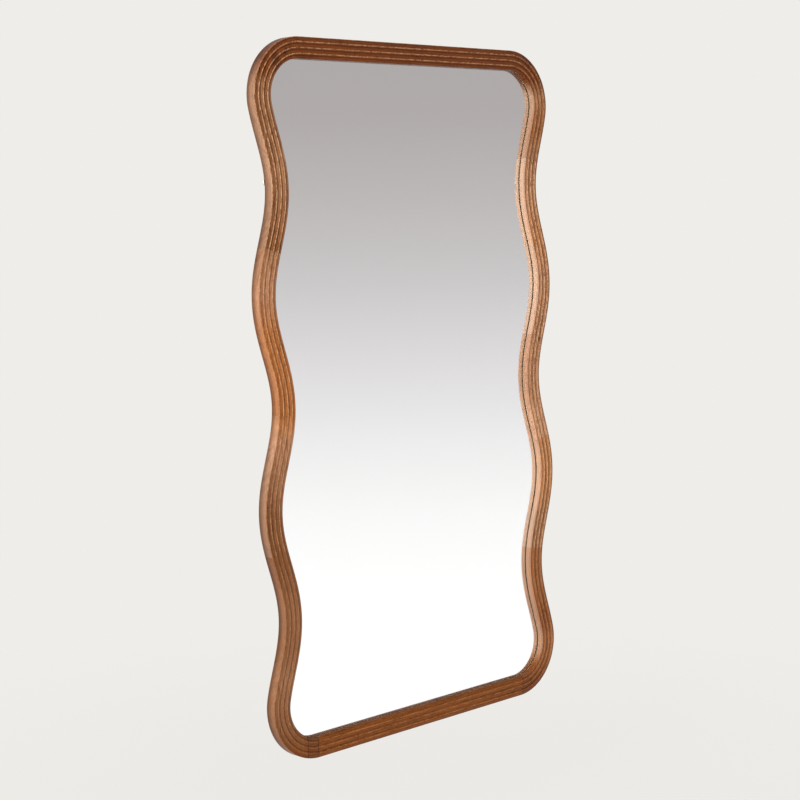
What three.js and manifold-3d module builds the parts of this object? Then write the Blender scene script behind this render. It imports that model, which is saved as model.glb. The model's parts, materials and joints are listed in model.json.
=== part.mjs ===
// A tall wall mirror in a solid wood frame: straight top and bottom, round corners and two
// long sides that run in a wave. Three half-round reeds follow the face of the frame all the
// way round. The frame is glued up from short boards, with finger joints at the corners and
// dowelled butt joints along the sides. The pane lies in a rebate cut from the back, behind it
// a thin backing board is screwed to the frame, and two D-rings on straps carry the mirror.
//
// Millimetres. X to the right, Y towards the wall, Z up. The origin lies on the wall plane,
// behind the middle of the mirror. Two more measures follow the frame itself:
//   u  across the frame's face, from its outer edge (0) inwards,
//   v  forwards from the frame's back face (0), so that what stands behind it has v below 0.

import * as THREE from 'three';
import { mergeVertices } from 'three/addons/utils/BufferGeometryUtils.js';
import Module from 'manifold-3d';

const wasm = await Module();
wasm.setup();

// ---- Driving dimensions -------------------------------------------------------------------

const GAP = 0.3; // between two pieces that touch

// outline of the frame
const HEIGHT = 1700;
const WIDTH = 1000; // over the two swellings of the sides
const WAVE_PITCH = 502; // from one pinch to the next
const WAVE_DEPTH = 49.5; // from swelling to pinch
const CORNER_RADIUS = 137; // outer edge

// section of the frame
const SHOULDER_FLAT = 2.6; // plain strip between the outer side and the first reed
const SHOULDER_ROUND = 1.2;
const SHOULDER_HEIGHT = 30; // face between the reeds, above the back face
const REED_COUNT = 3;
const REED_WIDTH = 13.4;
const REED_RISE = 2.2;
const INNER_WIDTH = 7.2; // from the last groove to the frame's inner side
const INNER_ROUND = 4.5; // radius of the bead that turns down to the glass there
const BACK_ROUND = 2.8; // rounded rear edge of the outer side

// rebates for the pane and the backing board
const LIP_WIDTH = 10; // wood in front of the glass
const LEDGE_WIDTH = 16; // wood that the backing board is screwed to
const BOARD_RECESS = 7.3; // backing board below the frame's back face
const BOARD_THICKNESS = 5;
const BOARD_CLEARANCE = 1; // all round its edge
const GLASS_THICKNESS = 4;
const GLASS_CLEARANCE = 3; // all round its edge, filled by the setting blocks below

const BLOCK_LENGTH = 30;
const BLOCK_PLACE = 220; // from the middle of the bottom rail

// joints in the wood
const FINGER_COUNT = 4;
const FINGER_LENGTH = 33;
const FINGER_OFFSET = 6; // from the end of the rail's straight stretch
const LEFT_JOINTS = [362, -20, -340]; // heights of the butt joints, from the top down
const RIGHT_JOINTS = [570, 107, -165, -460];
const DOWEL_DIAMETER = 8;
const DOWEL_LENGTH = 50;
const DOWEL_END_ROOM = 1; // bore beyond each end of a dowel

// screws of the backing board
const SCREW_SHANK = 3.5;
const SCREW_LENGTH = 14;
const SCREW_HEAD = 7.5;
const SCREW_HEAD_HEIGHT = 1.3;
const RAIL_SCREW_PLACE = 180; // from the middle of each rail
const SIDE_SCREW_PLACE = 0.6; // share of the way from a corner's bend down to the dowels

// hangers
const RING_WIRE = 3.5;
const RING_OPENING_WIDTH = 16;
const RING_OPENING_HEIGHT = 14;
const RING_CORNER = 3.2; // bend radius beside the straight leg
const RING_PLAY = 0.25; // between the ring's leg and the eye of the strap
const STRAP_THICKNESS = 1.4;
const STRAP_WIDTH = 12;
const STRAP_LENGTH = 46; // below the ring's leg
const STRAP_END_ROUND = 3;
const HANGER_SCREW_PLACES = [25, 39]; // below the ring's leg
const HANGER_SCREW_LENGTH = 15;
const HANGER_SCREW_HEAD = 7;
const HANGER_SCREW_HEAD_HEIGHT = 2.2;
const HANGER_RISE = 24; // the ring's leg above the upper pinch

const BUMPER_HEIGHT = 8;
const BUMPER_DIAMETER = 16;
const BUMPER_TAPER = 0.85; // its rear face, as a share of its diameter
const BUMPER_PLACE = 300; // from the middle of each rail

// shape of every pan-head screw, as shares of its own radii
const HEAD_FLAT = 0.7; // flat top of the head
const HEAD_EDGE = 0.45; // where the head's round edge begins, of its height
const POINT_LENGTH = 1.5; // in radii of the shank

// fineness of the faceted shapes
const WAVE_STEPS = 16; // in one wave
const ARC_STEPS = 9; // in one corner
const REED_STEPS = 4;
const ROUND_STEPS = 3;
const BEAD_STEPS = 5;
const EYE_STEPS = 14;
const BORE_SIDES = 10;
const WIRE_SIDES = 8;
const BUMPER_SIDES = 16;
const BISECTIONS = 60;

// cutters reach past the wood that they cut
const CUT_MARGIN = 1;
const RAIL_END_ROOM = 5; // swept past the finger tips, then cut off
const STEEPEST_END = 0.95; // sine of the largest turn of a rail's swept end

// ---- What follows from them ---------------------------------------------------------------

const faceWidth = SHOULDER_FLAT + REED_COUNT * REED_WIDTH + INNER_WIDTH;
const backWidth = faceWidth - LIP_WIDTH - LEDGE_WIDTH; // solid wood at the back face
const boardRear = BOARD_RECESS;
const boardFront = boardRear + BOARD_THICKNESS;
const ledgeHeight = boardFront + GAP;
const glassRear = ledgeHeight;
const glassFront = glassRear + GLASS_THICKNESS;
const lipHeight = glassFront + GAP; // underside of the wood in front of the glass
const screwLine = backWidth + LEDGE_WIDTH / 2;
const glassEdge = faceWidth - LIP_WIDTH + GLASS_CLEARANCE;
const boardEdge = backWidth + BOARD_CLEARANCE;
const dowelReach = DOWEL_LENGTH / 2 + DOWEL_END_ROOM; // bored on each side of a joint
const backPlane = -BUMPER_HEIGHT; // Y of the frame's back face

const depth = (v) => backPlane - v;
const beforeFront = depth(SHOULDER_HEIGHT + REED_RISE + CUT_MARGIN);
const behindBack = depth(-CUT_MARGIN);

// ---- Finishes -----------------------------------------------------------------------------

const finish = (color, roughness, metalness = 0) =>
  new THREE.MeshStandardMaterial({ color, roughness, metalness });
const railWood = finish(0x7a4a28, 0.5);
const stileWood = finish(0x9a6540, 0.5);
const dowelWood = finish(0xc9a877, 0.7);
const silvered = finish(0xe6eaea, 0.03, 1);
const boardBrown = finish(0x6b5138, 0.85);
const zinc = finish(0xb9bcc0, 0.35, 1);
const rubber = finish(0x1d1d1f, 0.9);

// ---- Solids -------------------------------------------------------------------------------

function toSolid(geometry) {
  const bare = new THREE.BufferGeometry();
  bare.setAttribute('position', geometry.getAttribute('position').clone());
  if (geometry.index) bare.setIndex(geometry.index.clone());
  const merged = mergeVertices(bare, 1e-4);
  const corners = new Uint32Array(merged.index.array);
  const solid = () =>
    new wasm.Manifold(
      new wasm.Mesh({
        numProp: 3,
        vertProperties: new Float32Array(merged.attributes.position.array),
        triVerts: corners,
      }),
    );
  const first = solid();
  if (first.volume() > 0) return first;
  for (let i = 0; i < corners.length; i += 3) {
    [corners[i], corners[i + 1]] = [corners[i + 1], corners[i]];
  }
  return solid();
}

function toGeometry(solid) {
  const { vertProperties, triVerts } = solid.getMesh();
  const geometry = new THREE.BufferGeometry();
  geometry.setAttribute('position', new THREE.BufferAttribute(new Float32Array(vertProperties), 3));
  geometry.setIndex(new THREE.BufferAttribute(new Uint32Array(triVerts), 1));
  geometry.computeVertexNormals();
  return geometry;
}

function cutAway(solid, cutters) {
  return cutters.reduce((left, cutter) => left.subtract(cutter), solid);
}

function boxSolid(low, high) {
  const size = low.map((value, i) => high[i] - value);
  const box = new THREE.BoxGeometry(...size);
  return toSolid(box.translate(...low.map((value, i) => value + size[i] / 2)));
}

// A cylinder whose middle lies at a point and whose axis runs along a direction.
function boreSolid(middle, direction, diameter, length) {
  const bore = new THREE.CylinderGeometry(diameter / 2, diameter / 2, length, BORE_SIDES);
  const turn = new THREE.Quaternion().setFromUnitVectors(new THREE.Vector3(0, 1, 0), direction);
  bore.applyQuaternion(turn).translate(middle.x, middle.y, middle.z);
  return toSolid(bore);
}

// ---- The middle line of the frame ---------------------------------------------------------
// Each station is a point on the middle line with the direction inwards across the frame. It is
// worked out for the right side: a quarter circle at each corner runs into a cosine wave.

const waveNumber = (2 * Math.PI) / WAVE_PITCH;
const waveMiddle = WIDTH / 2 - WAVE_DEPTH / 2 - faceWidth / 2;
const bend = CORNER_RADIUS - faceWidth / 2;
const railMiddle = HEIGHT / 2 - faceWidth / 2;

function waveStation(z) {
  const x = waveMiddle - (WAVE_DEPTH / 2) * Math.cos(waveNumber * z);
  const slope = (WAVE_DEPTH / 2) * waveNumber * Math.sin(waveNumber * z);
  const steep = Math.hypot(1, slope);
  return { x, z, nx: -1 / steep, nz: slope / steep };
}

// Height at which the wave meets a corner circle that also touches the rail's middle line.
function findTangentHeight() {
  let low = railMiddle - 2 * bend;
  let high = railMiddle;
  for (let i = 0; i < BISECTIONS; i += 1) {
    const z = (low + high) / 2;
    if (z + bend * waveStation(z).nz < railMiddle - bend) low = z;
    else high = z;
  }
  return (low + high) / 2;
}

const tangentHeight = findTangentHeight();
const tangent = waveStation(tangentHeight);
const arcCentre = { x: tangent.x + bend * tangent.nx, z: railMiddle - bend };
const arcSweep = Math.PI / 2 + Math.asin(tangent.nz);

// A station on the corner circle, angle 0 at the rail and arcSweep at the wave.
function arcStation(angle) {
  const nx = -Math.sin(angle);
  const nz = -Math.cos(angle);
  return { x: arcCentre.x - bend * nx, z: arcCentre.z - bend * nz, nx, nz };
}

const railStation = (x) => ({ x, z: railMiddle, nx: 0, nz: -1 });
const flipZ = ({ x, z, nx, nz }) => ({ x, z: -z, nx, nz: -nz });
const flipX = ({ x, z, nx, nz }) => ({ x: -x, z, nx: -nx, nz });

// Stations of the wave from one height down to another, with a step at each crest and trough.
function waveStations(top, bottom) {
  const step = WAVE_PITCH / WAVE_STEPS;
  const stations = [waveStation(top)];
  for (let i = Math.ceil(top / step); i > bottom / step; i -= 1) {
    const z = i * step;
    if (top - z > step / 4 && z - bottom > step / 4) stations.push(waveStation(z));
  }
  stations.push(waveStation(bottom));
  return stations;
}

function arcStations(from, to) {
  const count = Math.max(2, Math.ceil((ARC_STEPS * (to - from)) / arcSweep));
  return Array.from({ length: count + 1 }, (_, i) => arcStation(from + ((to - from) * i) / count));
}

function stationPoint(station, u) {
  const across = u - faceWidth / 2;
  return { x: station.x + station.nx * across, z: station.z + station.nz * across };
}

// ---- The section of the frame -------------------------------------------------------------

// Points [u, v] on an arc from one angle to another, in degrees.
function arcPoints(centreU, centreV, radius, fromAngle, toAngle, steps) {
  return Array.from({ length: steps + 1 }, (_, i) => {
    const angle = THREE.MathUtils.degToRad(fromAngle + ((toAngle - fromAngle) * i) / steps);
    return [centreU + radius * Math.cos(angle), centreV + radius * Math.sin(angle)];
  });
}

function reedPoints(start) {
  const half = REED_WIDTH / 2;
  const radius = (half * half + REED_RISE * REED_RISE) / (2 * REED_RISE);
  const opening = THREE.MathUtils.radToDeg(Math.asin(half / radius));
  const centreV = SHOULDER_HEIGHT + REED_RISE - radius;
  return arcPoints(start + half, centreV, radius, 90 + opening, 90 - opening, REED_STEPS);
}

function frameSection() {
  const section = arcPoints(BACK_ROUND, BACK_ROUND, BACK_ROUND, 270, 180, ROUND_STEPS);
  const shoulderV = SHOULDER_HEIGHT - SHOULDER_ROUND;
  section.push(...arcPoints(SHOULDER_ROUND, shoulderV, SHOULDER_ROUND, 180, 90, 1));
  for (let i = 0; i < REED_COUNT; i += 1) {
    const points = reedPoints(SHOULDER_FLAT + i * REED_WIDTH);
    section.push(...(i === 0 ? points : points.slice(1)));
  }
  const opening = Math.asin((INNER_WIDTH - INNER_ROUND) / INNER_ROUND);
  const innerU = faceWidth - INNER_ROUND;
  const innerV = SHOULDER_HEIGHT - INNER_ROUND * Math.cos(opening);
  const start = 90 + THREE.MathUtils.radToDeg(opening);
  section.push(...arcPoints(innerU, innerV, INNER_ROUND, start, 0, BEAD_STEPS).slice(1));
  section.push([faceWidth, lipHeight], [faceWidth - LIP_WIDTH, lipHeight]);
  section.push([faceWidth - LIP_WIDTH, ledgeHeight], [backWidth, ledgeHeight], [backWidth, 0]);
  return section;
}

// Carries the section along a run of stations and closes both ends.
function sweepSolid(stations, section) {
  const positions = [];
  const index = [];
  for (const station of stations) {
    for (const [u, v] of section) {
      const { x, z } = stationPoint(station, u);
      positions.push(x, depth(v), z);
    }
  }
  const count = section.length;
  for (let i = 0; i + 1 < stations.length; i += 1) {
    for (let j = 0; j < count; j += 1) {
      const a = i * count + j;
      const b = i * count + ((j + 1) % count);
      index.push(a, b, a + count, b, b + count, a + count);
    }
  }
  const outline = section.map(([u, v]) => new THREE.Vector2(u, v));
  const last = (stations.length - 1) * count;
  for (const [a, b, c] of THREE.ShapeUtils.triangulateShape(outline, [])) {
    // the outline runs clockwise in u and v, and the triangles keep its order or turn it
    const order = turnsLikeOutline(outline, a, b, c) ? [a, b, c] : [a, c, b];
    index.push(order[0], order[2], order[1]);
    index.push(last + order[0], last + order[1], last + order[2]);
  }
  const geometry = new THREE.BufferGeometry();
  geometry.setAttribute('position', new THREE.Float32BufferAttribute(positions, 3));
  geometry.setIndex(index);
  return toSolid(geometry);
}

function turnsLikeOutline(outline, a, b, c) {
  const triangle = THREE.ShapeUtils.area([outline[a], outline[b], outline[c]]);
  return triangle > 0 === THREE.ShapeUtils.area(outline) > 0;
}

// ---- The wooden pieces --------------------------------------------------------------------

const fingerStart = arcCentre.x + FINGER_OFFSET;
const fingerEnd = fingerStart + FINGER_LENGTH;
const fingerPitch = faceWidth / FINGER_COUNT;

// Slots at a corner for the fingers of the rail (even) or of the corner piece (odd), counted
// from the outer edge. The slots run from one x to another and right through the depth.
function fingerSlots(parity, fromX, toX, mirror) {
  const slots = [];
  for (let i = parity; i < FINGER_COUNT; i += 2) {
    const outer = HEIGHT / 2 + (i === 0 ? CUT_MARGIN : GAP / 2 - i * fingerPitch);
    const isLast = i === FINGER_COUNT - 1;
    const room = isLast ? faceWidth : 0; // the innermost slot is open towards the glass
    const inner = HEIGHT / 2 - (i + 1) * fingerPitch - GAP / 2 - room;
    slots.push(mirroredBox([fromX, beforeFront, inner], [toX, behindBack, outer], mirror));
  }
  return slots;
}

function mirroredBox(low, high, { left, bottom }) {
  const [x0, x1] = left ? [-high[0], -low[0]] : [low[0], high[0]];
  const [z0, z1] = bottom ? [-high[2], -low[2]] : [low[2], high[2]];
  return boxSolid([x0, low[1], z0], [x1, high[1], z1]);
}

const section = frameSection();
const everyCorner = [false, true].flatMap((bottom) =>
  [false, true].map((left) => ({ bottom, left })),
);

const mirrorStation = (station, { left, bottom }) => {
  const upright = bottom ? flipZ(station) : station;
  return left ? flipX(upright) : upright;
};

// angle on the corner circle by which even the inner edge has passed a given x
function anglePast(x) {
  return Math.asin(Math.min(STEEPEST_END, (x - arcCentre.x) / (bend - faceWidth / 2)));
}

function railSolid(bottom) {
  const half = arcStations(0, anglePast(fingerEnd + RAIL_END_ROOM));
  const stations = [...half.map(flipX).reverse(), ...half].map((s) => (bottom ? flipZ(s) : s));
  const cutters = everyCorner
    .filter((corner) => corner.bottom === bottom)
    .flatMap((corner) => [
      mirroredBox([fingerEnd - GAP / 2, beforeFront, 0], [WIDTH, behindBack, HEIGHT], corner),
      ...fingerSlots(1, fingerStart - GAP / 2, WIDTH, corner),
    ]);
  return cutAway(sweepSolid(stations, section), cutters);
}

// A corner piece from the rail round the corner and down the side to a joint.
function cornerSolid(corner, jointHeight) {
  const stations = [
    railStation(arcCentre.x - FINGER_OFFSET),
    ...arcStations(0, arcSweep),
    ...waveStations(tangentHeight, Math.abs(jointHeight) + GAP / 2).slice(1),
  ].map((station) => mirrorStation(station, corner));
  return cutAway(sweepSolid(stations, section), [
    mirroredBox([0, beforeFront, 0], [fingerStart + GAP / 2, behindBack, HEIGHT], corner),
    ...fingerSlots(0, 0, fingerEnd + GAP / 2, corner),
  ]);
}

function stileSolid(left, top, bottom) {
  const stations = waveStations(top - GAP / 2, bottom + GAP / 2);
  return sweepSolid(left ? stations.map(flipX) : stations, section);
}

// A place on a side of the frame, with the direction along it and the direction forwards.
function sidePlace(left, z, u, v) {
  const station = left ? flipX(waveStation(z)) : waveStation(z);
  const { x, z: height } = stationPoint(station, u);
  return {
    middle: new THREE.Vector3(x, depth(v), height),
    along: new THREE.Vector3(-station.nz, 0, station.nx),
  };
}

const forwards = new THREE.Vector3(0, -1, 0);
const jointNames = {
  left: ['upper', 'middle', 'lower'],
  right: ['upper', 'upper_middle', 'lower_middle', 'lower'],
};
const stileNames = { left: ['upper', 'lower'], right: ['upper', 'middle', 'lower'] };
const jointHeights = { left: LEFT_JOINTS, right: RIGHT_JOINTS };
const sides = ['left', 'right'];

// One dowel lies in the thick outer part of the section, the other in front of the ledge.
const dowelRows = [
  { row: 'outer', u: backWidth / 2, v: SHOULDER_HEIGHT / 2 },
  { row: 'inner', u: screwLine, v: (ledgeHeight + SHOULDER_HEIGHT) / 2 },
];
const dowels = sides.flatMap((side) =>
  jointHeights[side].flatMap((z, i) =>
    dowelRows.map(({ row, u, v }) => ({
      name: `${side}_${jointNames[side][i]}_${row}_dowel`,
      ...sidePlace(side === 'left', z, u, v),
    })),
  ),
);

// Screws of the backing board: two in each rail and corner piece, one in each stile board.
const sideStation = (corner, jointHeight) => {
  const drop = (tangentHeight - Math.abs(jointHeight) - dowelReach) * SIDE_SCREW_PLACE;
  return mirrorStation(waveStation(tangentHeight - drop), corner);
};
const cornerName = ({ bottom, left }) =>
  `${bottom ? 'bottom' : 'top'}_${left ? 'left' : 'right'}`;
const cornerJoint = ({ bottom, left }) => {
  const heights = left ? LEFT_JOINTS : RIGHT_JOINTS;
  return bottom ? heights[heights.length - 1] : heights[0];
};
const railScrewStations = [false, true].flatMap((bottom) =>
  [-RAIL_SCREW_PLACE, RAIL_SCREW_PLACE].map((x) => ({
    name: `backing_screw_${bottom ? 'bottom' : 'top'}_rail_${x < 0 ? 'left' : 'right'}`,
    station: bottom ? flipZ(railStation(x)) : railStation(x),
  })),
);
const cornerScrewStations = everyCorner.flatMap((corner) => [
  {
    name: `backing_screw_${cornerName(corner)}_bend`,
    station: mirrorStation(arcStation(arcSweep / 2), corner),
  },
  {
    name: `backing_screw_${cornerName(corner)}_side`,
    station: sideStation(corner, cornerJoint(corner)),
  },
]);
const stileScrewStations = sides.flatMap((side) =>
  stileNames[side].map((name, i) => {
    const station = waveStation((jointHeights[side][i] + jointHeights[side][i + 1]) / 2);
    return {
      name: `backing_screw_${side}_stile_${name}`,
      station: side === 'left' ? flipX(station) : station,
    };
  }),
);
const boardScrewTop = boardRear - GAP; // underside of the screw heads
const boardScrews = [...railScrewStations, ...cornerScrewStations, ...stileScrewStations].map(
  ({ name, station }) => {
    const { x, z } = stationPoint(station, screwLine);
    return { name, place: new THREE.Vector3(x, depth(boardScrewTop), z) };
  },
);

// Hangers: the ring's leg lies level with HANGER_RISE above the upper pinch of each side.
const eyeRadius = RING_WIRE / 2 + RING_PLAY + STRAP_THICKNESS;
const eyeStand = GAP + eyeRadius; // the ring's leg behind the back face
const hangerScrewTop = -(GAP + STRAP_THICKNESS + GAP);
const hangers = sides.map((side) => {
  const { middle } = sidePlace(side === 'left', WAVE_PITCH, backWidth / 2, 0);
  const pivot = new THREE.Vector3(middle.x, depth(-eyeStand), middle.z + HANGER_RISE);
  const screws = HANGER_SCREW_PLACES.map((drop, i) => ({
    name: `${side}_hanger_screw_${i === 0 ? 'upper' : 'lower'}`,
    place: new THREE.Vector3(pivot.x, depth(hangerScrewTop), pivot.z - drop),
  }));
  return { side, pivot, screws };
});

// A bore in the wood for a screw whose head's underside lies at a place.
function pilotBore({ place }, length) {
  const reach = length + GAP;
  const middle = place.clone().addScaledVector(forwards, reach / 2);
  return boreSolid(middle, forwards, SCREW_SHANK + 2 * GAP, reach);
}

const bores = [
  ...dowels.map(({ middle, along }) =>
    boreSolid(middle, along, DOWEL_DIAMETER + 2 * GAP, 2 * dowelReach),
  ),
  ...boardScrews.map((screw) => pilotBore(screw, SCREW_LENGTH)),
  ...hangers.flatMap(({ screws }) => screws.map((s) => pilotBore(s, HANGER_SCREW_LENGTH))),
];

function overlapsBox(a, b) {
  return a.min.every((low, i) => low < b.max[i] && b.min[i] < a.max[i]);
}

function bored(solid) {
  const box = solid.boundingBox();
  return cutAway(solid, bores.filter((bore) => overlapsBox(bore.boundingBox(), box)));
}

// ---- Pane, board and small parts ----------------------------------------------------------

// The closed line at a given u, all the way round the frame.
function loopPoints(u) {
  const side = [
    ...arcStations(0, arcSweep),
    ...waveStations(tangentHeight, -tangentHeight).slice(1, -1),
    ...arcStations(0, arcSweep).map(flipZ).reverse(),
  ];
  const loop = [...side, ...side.map(flipX).reverse()];
  return loop.map((station) => stationPoint(station, u));
}

// A flat plate inside the loop at u, between two depths, with round holes.
function plateGeometry(u, rear, front, holes, holeDiameter) {
  const shape = new THREE.Shape(loopPoints(u).map(({ x, z }) => new THREE.Vector2(x, z)));
  for (const { x, z } of holes) {
    const rim = Array.from({ length: BORE_SIDES }, (_, i) => {
      const angle = (2 * Math.PI * i) / BORE_SIDES;
      const reach = holeDiameter / 2;
      return new THREE.Vector2(x + reach * Math.cos(angle), z + reach * Math.sin(angle));
    });
    shape.holes.push(new THREE.Path(rim));
  }
  const plate = new THREE.ExtrudeGeometry(shape, { depth: front - rear, bevelEnabled: false });
  return plate.rotateX(Math.PI / 2).translate(0, depth(rear), 0);
}

// A pan-head screw: the underside of its head at the origin, its shank along +Y.
function screwGeometry(headDiameter, headHeight, length) {
  const head = headDiameter / 2;
  const shank = SCREW_SHANK / 2;
  const profile = [
    [0, -headHeight],
    [head * HEAD_FLAT, -headHeight],
    [head, -headHeight * HEAD_EDGE],
    [head, 0],
    [shank, 0],
    [shank, length - shank * POINT_LENGTH],
    [0, length],
  ].map(([radius, y]) => new THREE.Vector2(radius, y));
  return toGeometry(toSolid(new THREE.LatheGeometry(profile, BORE_SIDES)));
}

// The ring's middle line: a straight leg, two bends, two sides and a half circle below.
function ringLine() {
  const half = (RING_OPENING_WIDTH + RING_WIRE) / 2;
  const drop = RING_OPENING_HEIGHT + RING_WIRE - half;
  const bendCentre = [half - RING_CORNER, -RING_CORNER];
  const right = [
    ...arcPoints(...bendCentre, RING_CORNER, 90, 0, ROUND_STEPS),
    ...arcPoints(0, -drop, half, 0, -90, 2 * ROUND_STEPS),
  ];
  const left = right.slice(0, -1).map(([x, z]) => [-x, z]);
  return [...right, ...left.reverse()];
}

// A round wire along a closed flat line in X and Z.
function wireLoopGeometry(line, diameter) {
  const count = line.length;
  const positions = [];
  const index = [];
  line.forEach(([x, z], i) => {
    const [ax, az] = line[(i + count - 1) % count];
    const [bx, bz] = line[(i + 1) % count];
    const before = new THREE.Vector2(x - ax, z - az).normalize();
    const after = new THREE.Vector2(bx - x, bz - z).normalize();
    const along = before.clone().add(after).normalize();
    const reach = diameter / 2 / along.dot(after); // keeps the wire full in its bends
    for (let j = 0; j < WIRE_SIDES; j += 1) {
      const angle = (2 * Math.PI * (j + 0.5)) / WIRE_SIDES;
      const out = reach * Math.cos(angle);
      positions.push(x + along.y * out, (diameter / 2) * Math.sin(angle), z - along.x * out);
      const a = i * WIRE_SIDES + j;
      const b = i * WIRE_SIDES + ((j + 1) % WIRE_SIDES);
      const step = (((i + 1) % count) - i) * WIRE_SIDES;
      index.push(a, b, a + step, b, b + step, a + step);
    }
  });
  const geometry = new THREE.BufferGeometry();
  geometry.setAttribute('position', new THREE.Float32BufferAttribute(positions, 3));
  geometry.setIndex(index);
  return toGeometry(toSolid(geometry));
}

// The hanger's strap, its eye round the X axis: a flat tongue that hangs below a rolled eye.
function strapGeometry() {
  const plateRear = eyeRadius - STRAP_THICKNESS; // tongue's rear face, from the eye's middle
  const meet = 180 + THREE.MathUtils.radToDeg(Math.asin(plateRear / eyeRadius));
  const eye = arcPoints(0, 0, eyeRadius, -90, meet, EYE_STEPS);
  const outline = [[-STRAP_LENGTH, -eyeRadius], ...eye, [-STRAP_LENGTH, -plateRear]];
  const shape = new THREE.Shape(outline.map(([z, y]) => new THREE.Vector2(z, y)));
  const boreRadius = RING_WIRE / 2 + RING_PLAY;
  const bore = arcPoints(0, 0, boreRadius, 0, 360, BORE_SIDES).slice(0, -1);
  shape.holes.push(new THREE.Path(bore.map(([z, y]) => new THREE.Vector2(z, y))));
  const strip = new THREE.ExtrudeGeometry(shape, { depth: STRAP_WIDTH, bevelEnabled: false });
  // shape x becomes Z, shape y becomes Y (away from the frame), and the strip runs along X
  strip.translate(0, 0, -STRAP_WIDTH / 2);
  strip.applyMatrix4(new THREE.Matrix4().set(0, 0, 1, 0, 0, 1, 0, 0, 1, 0, 0, 0, 0, 0, 0, 1));
  const cutLength = 4 * STRAP_THICKNESS; // right through the tongue and out on both faces
  const holes = HANGER_SCREW_PLACES.map((drop) => {
    const middle = new THREE.Vector3(0, -eyeRadius + STRAP_THICKNESS / 2, -drop);
    return boreSolid(middle, forwards, SCREW_SHANK + 2 * GAP, cutLength);
  });
  const corner = new THREE.Vector3(STRAP_WIDTH / 2, -eyeRadius, -STRAP_LENGTH);
  const bevels = [-1, 1].map((hand) => {
    const size = STRAP_END_ROUND * Math.SQRT2;
    const wedge = new THREE.BoxGeometry(size, cutLength, size).rotateY(Math.PI / 4);
    return toSolid(wedge.translate(hand * corner.x, corner.y, corner.z));
  });
  return toGeometry(cutAway(toSolid(strip), [...holes, ...bevels]));
}

// ---- The assembly -------------------------------------------------------------------------

const mirror = new THREE.Group();
mirror.name = 'wavy_wall_mirror';

function addMesh(parent, name, geometry, material) {
  const mesh = new THREE.Mesh(geometry, material);
  mesh.name = name;
  parent.add(mesh);
  return mesh;
}

function addFrame() {
  const frame = new THREE.Group();
  addMesh(frame, 'top_rail', toGeometry(bored(railSolid(false))), railWood);
  addMesh(frame, 'bottom_rail', toGeometry(bored(railSolid(true))), railWood);
  for (const corner of everyCorner) {
    const solid = bored(cornerSolid(corner, cornerJoint(corner)));
    addMesh(frame, `corner_${cornerName(corner)}`, toGeometry(solid), stileWood);
  }
  for (const side of sides) {
    stileNames[side].forEach((name, i) => {
      const [top, bottom] = [jointHeights[side][i], jointHeights[side][i + 1]];
      const solid = bored(stileSolid(side === 'left', top, bottom));
      addMesh(frame, `${side}_stile_${name}`, toGeometry(solid), stileWood);
    });
  }
  mirror.add(frame);
}

function addDowels() {
  const radius = DOWEL_DIAMETER / 2;
  const dowel = new THREE.CylinderGeometry(radius, radius, DOWEL_LENGTH, BORE_SIDES);
  for (const { name, middle, along } of dowels) {
    const mesh = addMesh(mirror, name, dowel, dowelWood);
    mesh.position.copy(middle);
    mesh.quaternion.setFromUnitVectors(new THREE.Vector3(0, 1, 0), along);
  }
}

function addPane() {
  const pane = plateGeometry(glassEdge, glassRear, glassFront, [], 0);
  addMesh(mirror, 'mirror_glass', pane, silvered);
  const blockThickness = GLASS_CLEARANCE - 2 * GAP;
  const blockDepth = glassFront - glassRear - 2 * GAP;
  const block = new THREE.BoxGeometry(BLOCK_LENGTH, blockDepth, blockThickness);
  const rebateFloor = -(HEIGHT / 2 - (faceWidth - LIP_WIDTH));
  for (const side of sides) {
    const mesh = addMesh(mirror, `setting_block_${side}`, block, rubber);
    mesh.position.x = side === 'left' ? -BLOCK_PLACE : BLOCK_PLACE;
    mesh.position.y = depth((glassFront + glassRear) / 2);
    mesh.position.z = rebateFloor + GLASS_CLEARANCE / 2;
  }
}

function addBackingBoard() {
  const holes = boardScrews.map(({ place }) => place);
  const board = plateGeometry(boardEdge, boardRear, boardFront, holes, SCREW_SHANK + 2 * GAP);
  addMesh(mirror, 'backing_board', board, boardBrown);
  const screw = screwGeometry(SCREW_HEAD, SCREW_HEAD_HEIGHT, SCREW_LENGTH);
  for (const { name, place } of boardScrews) {
    const mesh = addMesh(mirror, name, screw, zinc);
    mesh.position.copy(place);
    mesh.rotation.x = Math.PI;
  }
}

function addHangers() {
  const strap = strapGeometry();
  const ring = wireLoopGeometry(ringLine(), RING_WIRE);
  const screw = screwGeometry(HANGER_SCREW_HEAD, HANGER_SCREW_HEAD_HEIGHT, HANGER_SCREW_LENGTH);
  for (const { side, pivot, screws } of hangers) {
    const hanger = new THREE.Group();
    hanger.position.copy(pivot);
    addMesh(hanger, `${side}_hanger_strap`, strap, zinc);
    addMesh(hanger, `${side}_hanger_ring`, ring, zinc);
    for (const { name, place } of screws) {
      const mesh = addMesh(hanger, name, screw, zinc);
      mesh.position.copy(place).sub(pivot);
      mesh.rotation.x = Math.PI;
    }
    mirror.add(hanger);
  }
}

function addBumpers() {
  const base = BUMPER_DIAMETER / 2;
  const tip = base * BUMPER_TAPER;
  const bumper = new THREE.CylinderGeometry(tip, base, BUMPER_HEIGHT - GAP, BUMPER_SIDES);
  for (const corner of everyCorner) {
    const mesh = addMesh(mirror, `bumper_${cornerName(corner)}`, bumper, rubber);
    mesh.position.x = corner.left ? -BUMPER_PLACE : BUMPER_PLACE;
    mesh.position.y = backPlane + (BUMPER_HEIGHT + GAP) / 2;
    mesh.position.z = (HEIGHT / 2 - backWidth / 2) * (corner.bottom ? -1 : 1);
  }
}

addFrame();
addDowels();
addPane();
addBackingBoard();
addHangers();
addBumpers();

export default mirror;
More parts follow.
